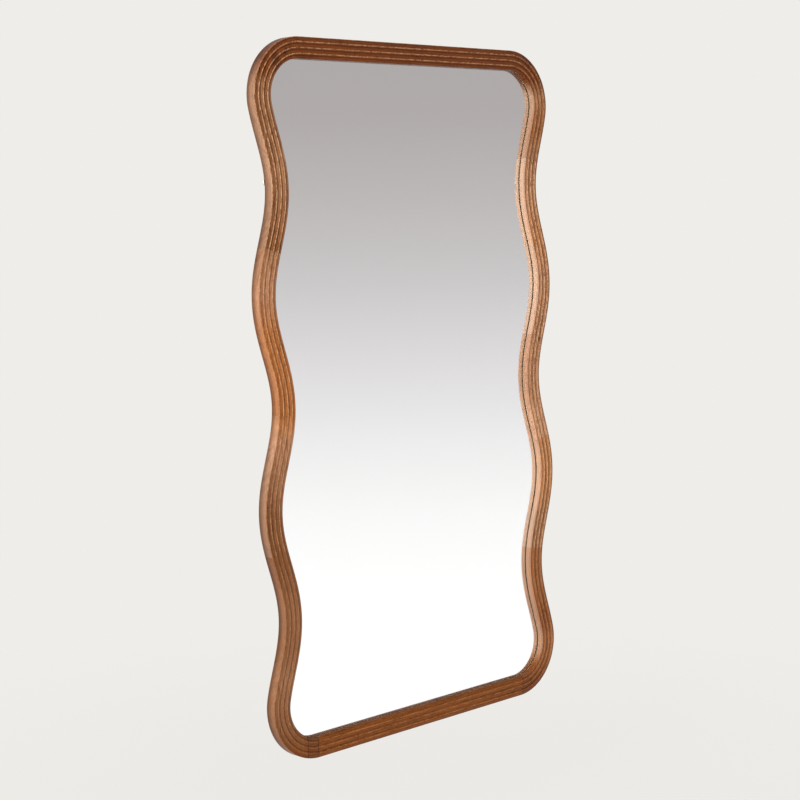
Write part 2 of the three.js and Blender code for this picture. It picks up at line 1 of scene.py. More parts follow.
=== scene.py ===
# %% [markdown]
# # A wavy wall mirror in a reeded wood frame
#
# The real object is a tall mirror whose two long sides run in a wave. Its frame is glued up from
# eleven short boards and three half-round reeds are cut along its face. This lesson dresses the
# packed construction model: every board, the pane, the backing board and the metal parts get a
# fine surface that is worked out from a formula, and a finish made of nodes.
#
# Everything is in metres. X is to the right, Y goes into the wall and Z is up.

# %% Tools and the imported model
import json
import math

import bmesh
import bpy
import numpy as np
from mathutils import Matrix, Vector


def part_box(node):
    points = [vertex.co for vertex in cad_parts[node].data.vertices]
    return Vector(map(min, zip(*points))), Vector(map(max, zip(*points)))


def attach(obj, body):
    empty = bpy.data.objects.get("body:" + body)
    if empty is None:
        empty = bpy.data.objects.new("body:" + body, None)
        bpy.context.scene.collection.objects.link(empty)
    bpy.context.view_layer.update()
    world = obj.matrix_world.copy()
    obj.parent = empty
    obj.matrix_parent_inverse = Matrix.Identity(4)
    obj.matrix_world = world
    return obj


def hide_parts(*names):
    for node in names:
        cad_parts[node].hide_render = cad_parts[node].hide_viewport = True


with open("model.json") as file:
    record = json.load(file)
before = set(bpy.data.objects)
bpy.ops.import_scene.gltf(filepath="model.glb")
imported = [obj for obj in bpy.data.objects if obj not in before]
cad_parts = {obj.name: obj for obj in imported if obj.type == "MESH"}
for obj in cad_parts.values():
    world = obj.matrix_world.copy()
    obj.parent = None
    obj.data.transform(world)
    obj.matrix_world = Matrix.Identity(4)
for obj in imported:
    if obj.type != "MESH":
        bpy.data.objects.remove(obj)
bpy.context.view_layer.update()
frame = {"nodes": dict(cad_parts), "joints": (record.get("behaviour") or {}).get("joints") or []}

# %% [markdown]
# ## Sizes
#
# The overall size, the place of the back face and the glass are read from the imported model, so
# that they can't drift away from it. The section of the frame and the wave are written here as
# the same driving sizes that the construction model uses. Two measures follow the frame itself:
# `u` runs across the face from the outer edge inwards, and `v` runs forwards from the back face.

# %% Driving sizes
MM = 0.001
WAVE_PITCH = 502 * MM
WAVE_DEPTH = 49.5 * MM
CORNER_RADIUS = 137 * MM
FACE_WIDTH = 50 * MM
SHOULDER_FLAT = 2.6 * MM
SHOULDER_ROUND = 1.2 * MM
SHOULDER_HEIGHT = 30 * MM
REED_COUNT = 3
REED_WIDTH = 13.4 * MM
REED_RISE = 2.2 * MM
INNER_WIDTH = 7.2 * MM
INNER_ROUND = 4.5 * MM
BACK_ROUND = 2.8 * MM
LIP_WIDTH = 10 * MM
LEDGE_WIDTH = 16 * MM
GAP = 0.3 * MM
FINGER_COUNT = 4
FINGER_OFFSET = 6 * MM
FINGER_LENGTH = 33 * MM
JOINTS = {"left": (0.362, -0.020, -0.340), "right": (0.570, 0.107, -0.165, -0.460)}

half_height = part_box("top_rail")[1].z
half_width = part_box("right_stile_upper")[1].x
back_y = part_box("top_rail")[1].y
glass_front = back_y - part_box("mirror_glass")[0].y
glass_rear = back_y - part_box("mirror_glass")[1].y
board_front = back_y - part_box("backing_board")[0].y
board_rear = back_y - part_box("backing_board")[1].y
lip_height = glass_front + GAP
ledge_height = board_front + GAP
back_width = FACE_WIDTH - LIP_WIDTH - LEDGE_WIDTH
glass_edge = half_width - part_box("mirror_glass")[1].x
board_edge = half_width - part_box("backing_board")[1].x
print(f"mirror {2 * half_width:.3f} x {2 * half_height:.3f} m, glass {glass_front - glass_rear:.4f} m thick")

# %% [markdown]
# ## The middle line of the frame
#
# A joiner would saw the sides from a template whose edge is a cosine wave, and turn the corners
# on a round template that touches both the rail and the wave. The same two curves are written
# here as functions that take a whole array of places at once and give back a *station* for each:
# a point on the middle line and the direction inwards across the frame.

# %% Stations along the frame
wave_number = 2 * math.pi / WAVE_PITCH
wave_middle = half_width - WAVE_DEPTH / 2 - FACE_WIDTH / 2
bend = CORNER_RADIUS - FACE_WIDTH / 2
rail_middle = half_height - FACE_WIDTH / 2


def wave(z):
    """Stations on the right side: x is a cosine of the height z, and the direction inwards is
    square to the curve's slope."""
    x = wave_middle - WAVE_DEPTH / 2 * np.cos(wave_number * z)
    slope = WAVE_DEPTH / 2 * wave_number * np.sin(wave_number * z)
    steep = np.hypot(1, slope)
    return np.stack([x, z, -1 / steep, slope / steep], axis=1)


HALVINGS = 60


def touching_height():
    """The height where a circle that touches the rail's middle line also touches the wave, found
    by halving an interval until it is as narrow as a number can be."""
    low, high = rail_middle - 2 * bend, rail_middle
    for _ in range(HALVINGS):
        z = (low + high) / 2
        if z + bend * wave(np.array([z]))[0, 3] < rail_middle - bend:
            low = z
        else:
            high = z
    return (low + high) / 2


tangent_height = touching_height()
touch = wave(np.array([tangent_height]))[0]
arc_x = touch[0] + bend * touch[2]
arc_z = rail_middle - bend
arc_sweep = math.pi / 2 + math.asin(touch[3])


def corner_arc(angle):
    """Stations on the corner circle: its centre plus the bend radius times (sin, cos) of the
    angle, which is 0 at the rail."""
    nx, nz = -np.sin(angle), -np.cos(angle)
    return np.stack([arc_x - bend * nx, arc_z - bend * nz, nx, nz], axis=1)


def straight(x):
    """Stations on the top rail, all of them looking down."""
    return np.stack([x, 0 * x + rail_middle, 0 * x, 0 * x - 1], axis=1)


FLIP_X = np.array([-1, 1, -1, 1])
FLIP_Z = np.array([1, -1, 1, -1])


def steps(start, end, size):
    """Evenly spaced places from start to end, no further apart than size."""
    return np.linspace(start, end, max(2, math.ceil(abs(end - start) / size) + 1))


print(f"the bend meets the wave at z = {tangent_height:.4f} m, turned {math.degrees(arc_sweep):.1f} degrees")

# %% [markdown]
# ## The section of the frame
#
# Cut across, the frame is a block with a plain outer side, three half-round reeds on its face, a
# small bead that turns down to the glass, and two steps behind for the pane and the backing board.
# A spindle moulder cuts that shape in a few passes. Here it is one closed outline of arcs and
# straight lines, which is then carried along the stations.

# %% Outline of the section
REED_STEPS = 14
ROUND_STEPS = 10
SIDE_STEPS = 6


def arc(centre, radius, start, end, count):
    """Points on a circle: centre plus radius times (cos, sin) of an angle in degrees."""
    angle = np.radians(np.linspace(start, end, count + 1))
    return np.array(centre) + radius * np.stack([np.cos(angle), np.sin(angle)], axis=1)


def reed(start):
    """One reed: the arc of a circle whose chord is the reed's width and whose height is its rise."""
    half = REED_WIDTH / 2
    radius = (half**2 + REED_RISE**2) / (2 * REED_RISE)
    opening = math.degrees(math.asin(half / radius))
    centre = (start + half, SHOULDER_HEIGHT + REED_RISE - radius)
    return arc(centre, radius, 90 + opening, 90 - opening, REED_STEPS)


def outline_of_section():
    """All (u, v) points once round, from the back round over the face to the rear steps. The bead
    is a circle that starts in the last groove: the sine of its turn there is how far it reaches
    back past its own top, in radii."""
    inner_u = FACE_WIDTH - INNER_ROUND
    turn = math.asin((INNER_WIDTH - INNER_ROUND) / INNER_ROUND)
    inner_v = SHOULDER_HEIGHT - INNER_ROUND * math.cos(turn)
    lip_u = FACE_WIDTH - LIP_WIDTH
    shoulder = (SHOULDER_ROUND, SHOULDER_HEIGHT - SHOULDER_ROUND)
    side = np.linspace(BACK_ROUND, shoulder[1], SIDE_STEPS)[1:-1]
    parts = [
        arc((BACK_ROUND, BACK_ROUND), BACK_ROUND, 270, 180, ROUND_STEPS),
        np.stack([0 * side, side], axis=1),
        arc(shoulder, SHOULDER_ROUND, 180, 90, ROUND_STEPS // 2),
    ]
    for i in range(REED_COUNT):
        points = reed(SHOULDER_FLAT + i * REED_WIDTH)
        parts.append(points if i == 0 else points[1:])
    parts.append(arc((inner_u, inner_v), INNER_ROUND, 90 + math.degrees(turn), 0, ROUND_STEPS)[1:])
    steps_behind = [
        (FACE_WIDTH, lip_height),
        (lip_u, lip_height),
        (lip_u, ledge_height),
        (back_width, ledge_height),
        (back_width, 0),
    ]
    return np.concatenate([*parts, np.array(steps_behind)])


section = outline_of_section()
print("section:", len(section), "points round")

# %% [markdown]
# ## From arrays to meshes
#
# A few helpers turn arrays into pieces. `grid_faces` joins the points of a grid by squares,
# `make_piece` puts points and faces into a mesh and turns all its faces outwards, `cut` takes
# other solids away from a piece, as a drill or a saw does, and `tube_along` makes round solids.

# %% Mesh helpers
X_AXIS, Y_AXIS, Z_AXIS = np.eye(3)


def grid_faces(rows, columns, close_rows=False):
    """Squares between neighbouring points of a grid whose columns close on themselves."""
    row = np.arange(rows if close_rows else rows - 1)[:, None]
    here, below = row * columns, (row + 1) % rows * columns
    column = np.arange(columns)[None, :]
    beside = (column + 1) % columns
    corners = [here + column, here + beside, below + beside, below + column]
    return np.stack(corners, axis=2).reshape(-1, 4).tolist()


def end_faces(rows, columns):
    """The two flat faces that close a grid of rings at its ends."""
    last = (rows - 1) * columns
    return [list(range(columns))[::-1], list(range(last, last + columns))]


def new_object(name, data):
    """An object in the scene, at the origin."""
    made = bpy.data.objects.new(name, data)
    bpy.context.scene.collection.objects.link(made)
    return made


def points_of(mesh):
    """All points of a mesh as rows of an array."""
    places = np.zeros(len(mesh.vertices) * 3)
    mesh.vertices.foreach_get("co", places)
    return places.reshape(-1, 3)


def make_piece(name, points, faces, sharp_angle=32):
    """A mesh object at the origin, with its place in its points and its faces turned outwards."""
    mesh = bpy.data.meshes.new(name)
    mesh.from_pydata(np.asarray(points, float).reshape(-1, 3).tolist(), [], faces)
    shell = bmesh.new()
    shell.from_mesh(mesh)
    bmesh.ops.recalc_face_normals(shell, faces=shell.faces)
    shell.to_mesh(mesh)
    shell.free()
    smooth(mesh, sharp_angle)
    return new_object(name, mesh)


def smooth(mesh, sharp_angle):
    """Shades faces as one round surface except where they meet at more than the sharp angle."""
    mesh.validate()
    mesh.polygons.foreach_set("use_smooth", np.ones(len(mesh.polygons), bool))
    mesh.set_sharp_from_angle(angle=math.radians(sharp_angle))
    mesh.update()


def cut(piece, cutters, sharp_angle=32):
    """Takes the cutters away from the piece with a boolean, then deletes the cutters."""
    group = bpy.data.collections.new("cutters")
    bpy.context.scene.collection.children.link(group)
    for cutter in cutters:
        group.objects.link(cutter)
    modifier = piece.modifiers.new("cut", "BOOLEAN")
    modifier.operand_type = "COLLECTION"
    modifier.collection = group
    modifier.solver = "MANIFOLD"
    graph = bpy.context.evaluated_depsgraph_get()
    mesh = bpy.data.meshes.new_from_object(piece.evaluated_get(graph))
    piece.modifiers.clear()
    piece.data = mesh
    for cutter in cutters:
        bpy.data.objects.remove(cutter)
    bpy.data.collections.remove(group)
    smooth(mesh, sharp_angle)
    return piece


def tube_along(points, direction_a, direction_b, radii, sides):
    """A round solid about a straight line: at each point of the line a ring spanned by two
    directions square to the line, with a flat face at both ends. The radius is given for each
    ring, or for each point of each ring."""
    angle = np.linspace(0, 2 * np.pi, sides, endpoint=False)[None, :, None]
    ring = np.cos(angle) * direction_a + np.sin(angle) * direction_b
    grid = points[:, None, :] + np.reshape(radii, (len(points), -1, 1)) * ring
    return grid, grid_faces(len(points), sides) + end_faces(len(points), sides)


# %% [markdown]
# ## The eleven boards
#
# Each board is the section carried along its own run of stations. The long sides are cut into
# boards with butt joints, so those boards simply begin and end at a station. At the corners the
# rail and the corner piece interlock with four fingers: both are made a little too long, and
# boxes saw the slots into them. Dowel holes and pilot holes are drilled the same way, because the
# back is seen too.

# %% Boards, before their joints are cut
STATION_STEP = 4 * MM
BOARD_NAMES = {"left": ("upper", "lower"), "right": ("upper", "middle", "lower")}
RAIL_END_ROOM = 5 * MM
STEEPEST_END = 0.95


def carry(name, stations, outline):
    """The swept solid: point (i, j) is station i, moved inwards by outline point j's u measured
    from the middle line, and forwards from the back face by its v."""
    across = outline[:, 0] - FACE_WIDTH / 2
    x = stations[:, 0:1] + stations[:, 2:3] * across
    z = stations[:, 1:2] + stations[:, 3:4] * across
    y = np.broadcast_to(back_y - outline[:, 1], x.shape)
    faces = grid_faces(*x.shape) + end_faces(*x.shape)
    return make_piece(name, np.stack([x, y, z], axis=2), faces)


def flipped(stations, left, bottom):
    """The same stations on another side of the frame."""
    return stations * (FLIP_X if left else 1) * (FLIP_Z if bottom else 1)


def box_piece(low, high, left=False, bottom=False):
    """A box between two corners, mirrored to the left or to the bottom where asked."""
    pick = np.array([[i, j, k] for i in (0, 1) for j in (0, 1) for k in (0, 1)])
    points = np.where(pick == 0, np.array(low), np.array(high))
    points = points * [-1 if left else 1, 1, -1 if bottom else 1]
    faces = [[0, 1, 3, 2], [4, 6, 7, 5], [0, 4, 5, 1], [2, 3, 7, 6], [0, 2, 6, 4], [1, 5, 7, 3]]
    return make_piece("cutter", points, faces)


finger_start = arc_x + FINGER_OFFSET
finger_end = finger_start + FINGER_LENGTH
finger_pitch = FACE_WIDTH / FINGER_COUNT
front_y = back_y - SHOULDER_HEIGHT - REED_RISE


def finger_slots(parity, from_x, to_x, left, bottom):
    """Boxes that saw away the fingers of the other piece, counted from the outer edge."""
    slots = []
    for i in range(parity, FINGER_COUNT, 2):
        top = half_height + (MM if i == 0 else GAP / 2 - i * finger_pitch)
        room = FACE_WIDTH if i == FINGER_COUNT - 1 else 0
        foot = half_height - (i + 1) * finger_pitch - GAP / 2 - room
        slots.append(box_piece((from_x, front_y - MM, foot), (to_x, back_y + MM, top), left, bottom))
    return slots


def make_rail(bottom):
    """A straight rail whose ends follow the start of both corners as far as the finger tips."""
    reach = (finger_end + RAIL_END_ROOM - arc_x) / (bend - FACE_WIDTH / 2)
    turn = corner_arc(steps(0, math.asin(min(STEEPEST_END, reach)), STATION_STEP / bend))
    middle = straight(steps(-arc_x, arc_x, 3 * STATION_STEP))[1:-1]
    stations = np.concatenate([turn[::-1] * FLIP_X, middle, turn])
    rail = carry("rail_bottom" if bottom else "rail_top", flipped(stations, False, bottom), section)
    cutters = []
    for left in (False, True):
        beyond = ((finger_end - GAP / 2, front_y - MM, 0), (2 * half_width, back_y + MM, 2 * half_height))
        cutters.append(box_piece(*beyond, left, bottom))
        cutters += finger_slots(1, finger_start - GAP / 2, 2 * half_width, left, bottom)
    return rail, cutters


def corner_node(left, bottom):
    """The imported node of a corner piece."""
    return f"corner_{'bottom' if bottom else 'top'}_{'left' if left else 'right'}"


def make_corner(left, bottom):
    """A corner piece, from the finger joint with its rail round the bend and down the side."""
    joint = JOINTS["left" if left else "right"][-1 if bottom else 0]
    stations = np.concatenate([
        straight(np.array([arc_x - FINGER_OFFSET])),
        corner_arc(steps(0, arc_sweep, STATION_STEP / bend)),
        wave(steps(tangent_height, abs(joint) + GAP / 2, STATION_STEP))[1:],
    ])
    name = corner_node(left, bottom).replace("corner", "corner_board")
    piece = carry(name, flipped(stations, left, bottom), section)
    near = ((0, front_y - MM, 0), (finger_start + GAP / 2, back_y + MM, 2 * half_height))
    cutters = [box_piece(*near, left, bottom)]
    cutters += finger_slots(0, 0, finger_end + GAP / 2, left, bottom)
    return piece, cutters


def make_stile(side, index):
    """One wavy board between two butt joints."""
    top, bottom = JOINTS[side][index] - GAP / 2, JOINTS[side][index + 1] + GAP / 2
    stations = flipped(wave(steps(top, bottom, STATION_STEP)), side == "left", False)
    return carry(f"{side}_board_{BOARD_NAMES[side][index]}", stations, section), []


# %% [markdown]
# ### Holes for dowels and screws
#
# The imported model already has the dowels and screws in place. Their boxes say where each hole
# goes, so nothing is measured twice: a dowel's hole is a cylinder about the dowel's own axis, and
# a pilot hole is a cylinder along Y about the middle of its screw.

# %% Bores
BORE_SIDES = 24
DOWEL_ROOM = 1 * MM
DOWEL_RADIUS = 4 * MM
DOWEL_LENGTH = 50 * MM
PILOT_RADIUS = 2.05 * MM
DRILL_REACH = 10 * MM
JOINT_NAMES = {
    "left": ("upper", "middle", "lower"),
    "right": ("upper", "upper_middle", "lower_middle", "lower"),
}
node_names = sorted(frame["nodes"])
dowel_nodes = [name for name in node_names if name.endswith("_dowel")]
board_screw_nodes = [name for name in node_names if name.startswith("backing_screw_")]
hanger_screw_nodes = [name for name in node_names if "_hanger_screw_" in name]


def middle_of(node):
    """The middle of a node's box."""
    low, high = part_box(node)
    return np.array((low + high) / 2)


def dowel_axis(node):
    """A dowel runs along the wave at the height of its own joint, square to the direction inwards.
    Its name holds its side, its joint, and whether it is the inner or the outer one."""
    side, *joint, _, _ = node.split("_")
    height = JOINTS[side][JOINT_NAMES[side].index("_".join(joint))]
    station = flipped(wave(np.array([height]))[0], side == "left", False)
    return np.array([-station[3], 0.0, station[2]])


def rod(name, middle, axis, radius, length, sides=BORE_SIDES):
    """A plain round rod about its middle, along an axis."""
    axis = axis / np.linalg.norm(axis)
    first = np.cross(axis, Y_AXIS)
    if np.linalg.norm(first) < 0.5:
        first = X_AXIS
    first = first / np.linalg.norm(first)
    second = np.cross(axis, first)
    ends = middle + np.outer([-length / 2, length / 2], axis)
    points, faces = tube_along(ends, first, second, [radius, radius], sides)
    return make_piece(name, points, faces)


def screw_hole(node, rear, front):
    """A hole about the screw at a node, between two depths."""
    middle = middle_of(node)
    middle[1] = (rear + front) / 2
    return rod("cutter", middle, Y_AXIS, PILOT_RADIUS, rear - front)


def bores_near(piece):
    """Dowel bores whose middles lie within half a dowel of the piece's box, and pilot holes inside
    it, which run from just behind the wood to a little past the screw's point."""
    places = points_of(piece.data)
    low, high = places.min(0), places.max(0)
    found = []
    for node in dowel_nodes:
        middle = middle_of(node)
        if np.all(middle > low - DOWEL_LENGTH / 2) and np.all(middle < high + DOWEL_LENGTH / 2):
            bore_length = DOWEL_LENGTH + 2 * DOWEL_ROOM
            found.append(rod("cutter", middle, dowel_axis(node), DOWEL_RADIUS + GAP, bore_length))
    for node in board_screw_nodes + hanger_screw_nodes:
        middle = middle_of(node)
        if np.all(middle[[0, 2]] > low[[0, 2]]) and np.all(middle[[0, 2]] < high[[0, 2]]):
            found.append(screw_hole(node, back_y + MM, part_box(node)[0].y - GAP))
    return found


# %% [markdown]
# ### Sawing and boring
#
# A boolean could be run for every slot and every hole. Here each board gets all its cutters at
# once, which is quicker and leaves one clean result.

# %% Make and cut the boards
made_boards = {}
for bottom in (False, True):
    made_boards["bottom_rail" if bottom else "top_rail"] = make_rail(bottom)
    for left in (False, True):
        made_boards[corner_node(left, bottom)] = make_corner(left, bottom)
for side, names in BOARD_NAMES.items():
    for index, name in enumerate(names):
        made_boards[f"{side}_stile_{name}"] = make_stile(side, index)

boards = {}
for node, (piece, cutters) in made_boards.items():
    boards[node] = cut(piece, cutters + bores_near(piece))
print("boards:", {node: len(piece.data.polygons) for node, piece in boards.items()})

# %% [markdown]
# ## The pane and the backing board
#
# The pane is one sheet of float glass, 4 mm thick, cut to the wavy outline and silvered behind.
# Its edge is ground to a narrow bevel. Both plates follow the frame's own line at a fixed `u`, so
# the outline is the loop of stations. The two halves of the loop mirror each other, which lets
# the flat faces be simple rungs from the right side to the left.

# %% Plates inside the loop
BOARD_BEVEL = 0.3 * MM
PANE_BEVEL = 0.8 * MM

half_loop = np.concatenate([
    corner_arc(steps(0, arc_sweep, STATION_STEP / bend)),
    wave(steps(tangent_height, -tangent_height, STATION_STEP))[1:-1],
    corner_arc(steps(arc_sweep, 0, STATION_STEP / bend)) * FLIP_Z,
])
loop = np.concatenate([half_loop, half_loop[::-1] * FLIP_X])


def make_plate(name, u, rear, front, bevel):
    """Four rings round the loop, the outer two drawn in by the bevel, closed by rungs."""
    rings = np.array([(u + bevel, rear), (u, rear + bevel), (u, front - bevel), (u + bevel, front)])
    across = rings[:, 0:1] - FACE_WIDTH / 2
    x = loop[:, 0] + loop[:, 2] * across
    z = loop[:, 1] + loop[:, 3] * across
    y = np.broadcast_to(back_y - rings[:, 1:2], x.shape)
    faces = grid_faces(len(rings), len(loop))
    first = np.arange(len(half_loop) - 1)
    last = len(loop) - 1 - first
    rungs = np.stack([first, first + 1, last - 1, last], axis=1)
    faces += rungs[:, ::-1].tolist() + (rungs + (len(rings) - 1) * len(loop)).tolist()
    return make_piece(name, np.stack([x, y, z], axis=2), faces, 20)


pane = make_plate("silvered_pane", glass_edge, glass_rear, glass_front, PANE_BEVEL)
board = make_plate("brown_hardboard", board_edge, board_rear, board_front, BOARD_BEVEL)
cut(board, [screw_hole(node, back_y + DRILL_REACH, back_y - DRILL_REACH) for node in board_screw_nodes])
print("pane:", len(pane.data.polygons), "faces; board:", len(board.data.polygons))

# %% [markdown]
# ## Screws
#
# The backing board and the hangers are held by pan-head screws. A screw is a round solid whose
# radius changes along its axis: a domed head, a neck, and a thread that winds round the core. The
# thread is part of the same formula, because the radius may also depend on the angle. A cross is
# then sunk into the head. Every screw stops at its own angle, so each copy is turned a little
# differently.

# %% Screws
SCREW_SIDES = 24
THREAD_PITCH = 1.35 * MM
CORE_RADIUS = 1.25 * MM
THREAD_RADIUS = 1.75 * MM
RIDGE_SHARE = 0.3
TIP_LENGTH = 3 * MM
TIP_SHARE = 0.03
HEAD_ROWS = 10
HEAD_START_ANGLE = 0.12
HEAD_SQUARENESS = 2.6
ROW_STEP = 0.18 * MM
CROSS_WIDTH = 0.9 * MM
CROSS_SHARE = 0.6
CROSS_DEPTH_SHARE = 0.75
random_angles = np.random.default_rng(7)


def screw_mesh(head_radius, head_height, length):
    """A screw whose head's top is at the origin, with its point towards -Y. The head's radius is
    a superellipse of the depth. The thread is a ridge that is high where the depth, less the
    angle's share of one pitch, is near a whole number of pitches."""
    head_depth = head_height * (1 - np.cos(np.linspace(HEAD_START_ANGLE, math.pi / 2, HEAD_ROWS)))
    power = HEAD_SQUARENESS
    head = head_radius * (1 - (1 - head_depth / head_height) ** power) ** (1 / power)
    shank_depth = head_height + np.linspace(0, length, math.ceil(length / ROW_STEP))
    angle = np.linspace(0, 2 * np.pi, SCREW_SIDES, endpoint=False)
    turn = (shank_depth[:, None] / THREAD_PITCH - angle[None, :] / (2 * np.pi)) % 1
    ridge = np.clip(1 - np.abs(turn - 0.5) / RIDGE_SHARE, 0, 1)
    to_tip = np.clip((shank_depth[-1] - shank_depth) / TIP_LENGTH, TIP_SHARE, 1)[:, None]
    shank = (CORE_RADIUS + (THREAD_RADIUS - CORE_RADIUS) * ridge) * to_tip
    depths = np.concatenate([head_depth, shank_depth])
    radii = np.concatenate([np.repeat(head[:, None], SCREW_SIDES, axis=1), shank])
    points, faces = tube_along(np.outer(-depths, Y_AXIS), X_AXIS, Z_AXIS, radii, SCREW_SIDES)
    screw = make_piece("screw", points, faces, 40)
    arm, sink = head_radius * CROSS_SHARE, head_height * CROSS_DEPTH_SHARE
    arms = [((-arm, -sink, -CROSS_WIDTH / 2), (arm, MM, CROSS_WIDTH / 2))]
    arms.append(((-CROSS_WIDTH / 2, -sink, -arm), (CROSS_WIDTH / 2, MM, arm)))
    cut(screw, [box_piece(*corners) for corners in arms], 40)
    mesh = screw.data
    bpy.data.objects.remove(screw)
    return mesh


def place_screws(nodes, head_radius, head_height):
    """One turned copy of the screw for each node, its head's top on the node's rear face."""
    low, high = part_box(nodes[0])
    pattern = screw_mesh(head_radius, head_height, high.y - low.y - head_height)
    made = {}
    for node in nodes:
        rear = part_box(node)[1].y
        middle = middle_of(node)
        mesh = pattern.copy()
        turn = Matrix.Rotation(random_angles.uniform(0, math.pi), 4, "Y")
        mesh.transform(Matrix.Translation((middle[0], rear, middle[2])) @ turn)
        made[node] = new_object(node.replace("screw", "pan_screw"), mesh)
    return made


screws = place_screws(board_screw_nodes, 3.75 * MM, 1.3 * MM)
screws |= place_screws(hanger_screw_nodes, 3.5 * MM, 2.2 * MM)
print("screws:", len(screws), "with", len(next(iter(screws.values())).data.polygons), "faces each")

# %% [markdown]
# ## Hangers
#
# Each hanger is a strip of steel rolled round the straight leg of a wire ring. The strip is a
# rounded rectangle carried along its own middle line: up the tongue and round the eye. The ring
# is a circle carried along a closed line of arcs. Both hang from the ring's leg, whose place is
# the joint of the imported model.

# %% Strips and rings
RING_WIRE = 3.5 * MM
RING_WIDTH = 16 * MM
RING_DROP = 14 * MM
RING_CORNER = 3.2 * MM
RING_PLAY = 0.25 * MM
STRAP_THICKNESS = 1.4 * MM
STRAP_WIDTH = 12 * MM
STRAP_LENGTH = 46 * MM
STRAP_END_ROUND = 3 * MM
STRAP_EDGE = 0.25 * MM
CURL_END = 200
WIRE_SIDES = 20
pivots = {joint["child"]: np.array(joint["pos_m"]) for joint in frame["joints"]}


def make_ring(name, pivot):
    """A wire whose middle line is a straight leg, two small bends, two sides and a half circle."""
    half = (RING_WIDTH + RING_WIRE) / 2
    drop = RING_DROP + RING_WIRE - half
    right = np.concatenate([
        arc((half - RING_CORNER, -RING_CORNER), RING_CORNER, 90, 0, 8),
        arc((0, -drop), half, 0, -90, 16),
    ])
    line = np.concatenate([right, right[-2::-1] * [-1, 1]])
    along = np.roll(line, -1, axis=0) - np.roll(line, 1, axis=0)
    along /= np.linalg.norm(along, axis=1, keepdims=True)
    angle = np.linspace(0, 2 * np.pi, WIRE_SIDES, endpoint=False)
    out = RING_WIRE / 2 * np.cos(angle)
    x = line[:, 0:1] + along[:, 1:2] * out
    z = line[:, 1:2] - along[:, 0:1] * out
    y = np.broadcast_to(RING_WIRE / 2 * np.sin(angle), x.shape)
    faces = grid_faces(len(line), WIRE_SIDES, close_rows=True)
    return make_piece(name, np.stack([x, y, z], axis=2) + pivot, faces, 60)


def make_strap(name, pivot, screw_nodes):
    """The strip's middle line runs up the tongue and round the eye, and its half width follows a
    quarter circle at the tongue's end. Its screw holes are drilled where the screws are."""
    radius = RING_WIRE / 2 + RING_PLAY + STRAP_THICKNESS / 2
    rounded_end = steps(0, STRAP_END_ROUND, 0.3 * MM)
    rise = np.concatenate([rounded_end, steps(STRAP_END_ROUND, STRAP_LENGTH, STATION_STEP)[1:-1]])
    tongue = np.stack([rise - STRAP_LENGTH, 0 * rise - radius], axis=1)
    line = np.concatenate([tongue, arc((0, 0), radius, -90, CURL_END, 40)])
    along = np.gradient(line, axis=0)
    along /= np.linalg.norm(along, axis=1, keepdims=True)
    to_end = np.clip(STRAP_END_ROUND - (line[:, 0] + STRAP_LENGTH), 0, STRAP_END_ROUND)
    to_end[len(rise):] = 0
    half = STRAP_WIDTH / 2 - STRAP_END_ROUND + np.sqrt(STRAP_END_ROUND**2 - to_end**2)
    thick = STRAP_THICKNESS / 2
    sides = np.repeat([(1, 1), (1, -1), (-1, -1), (-1, 1)], 2, axis=0)
    pull = np.tile([(0, 1), (1, 0), (1, 0), (0, 1)], (2, 1)) * STRAP_EDGE
    across = sides[:, 0] * (half[:, None] - pull[:, 1])
    proud = sides[:, 1] * (thick - pull[:, 0])
    y = line[:, 1:2] + along[:, 0:1] * proud
    z = line[:, 0:1] - along[:, 1:2] * proud
    faces = grid_faces(*y.shape) + end_faces(*y.shape)
    strap = make_piece(name, np.stack([across, y, z], axis=2) + pivot, faces, 40)
    rear, front = pivot[1] + DRILL_REACH, pivot[1] - DRILL_REACH
    return cut(strap, [screw_hole(node, rear, front) for node in screw_nodes], 40)


rings, straps = {}, {}
for side in ("left", "right"):
    own_screws = [node for node in hanger_screw_nodes if node.startswith(side)]
    rings[side] = make_ring(f"{side}_wire_ring", pivots[f"{side}_ring"])
    straps[side] = make_strap(f"{side}_rolled_strap", pivots[f"{side}_ring"], own_screws)
print("hangers at", {side: np.round(pivots[f'{side}_ring'], 4).tolist() for side in rings})

# %% [markdown]
# ## Dowels and bumpers
#
# A joiner's dowel has flutes, so that glue and air can escape, and its ends are chamfered: the
# radius of a round rod dips a little sixteen times round, and shrinks at both ends. A bumper is a
# tapered rubber button with a rounded rim, which keeps the frame off the wall.

# %% Dowels and bumpers
FLUTES = 16
FLUTE_DEPTH = 0.3 * MM
DOWEL_CHAMFER = 1.2 * MM
BUMPER_SIDES = 48
BUMPER_RIM = 1.2 * MM
BUMPER_TAPER = 0.85
DIMPLE_RADIUS = 2.6 * MM
DIMPLE_DEPTH = 0.8 * MM


def make_dowel(node):
    """A rod along the wave whose radius dips with the cosine of sixteen times the angle."""
    axis = dowel_axis(node)
    half = DOWEL_LENGTH / 2
    places = np.array([-half, -half + DOWEL_CHAMFER, half - DOWEL_CHAMFER, half])
    angle = np.linspace(0, 2 * np.pi, 4 * FLUTES, endpoint=False)
    body = DOWEL_RADIUS - FLUTE_DEPTH * (1 + np.cos(FLUTES * angle)) / 2
    radii = np.stack([body - DOWEL_CHAMFER, body, body, body - DOWEL_CHAMFER])
    line = middle_of(node) + np.outer(places, axis)
    points, faces = tube_along(line, np.cross(axis, Y_AXIS), Y_AXIS, radii, 4 * FLUTES)
    return make_piece(node.replace("_dowel", "_fluted_dowel"), points, faces, 50)


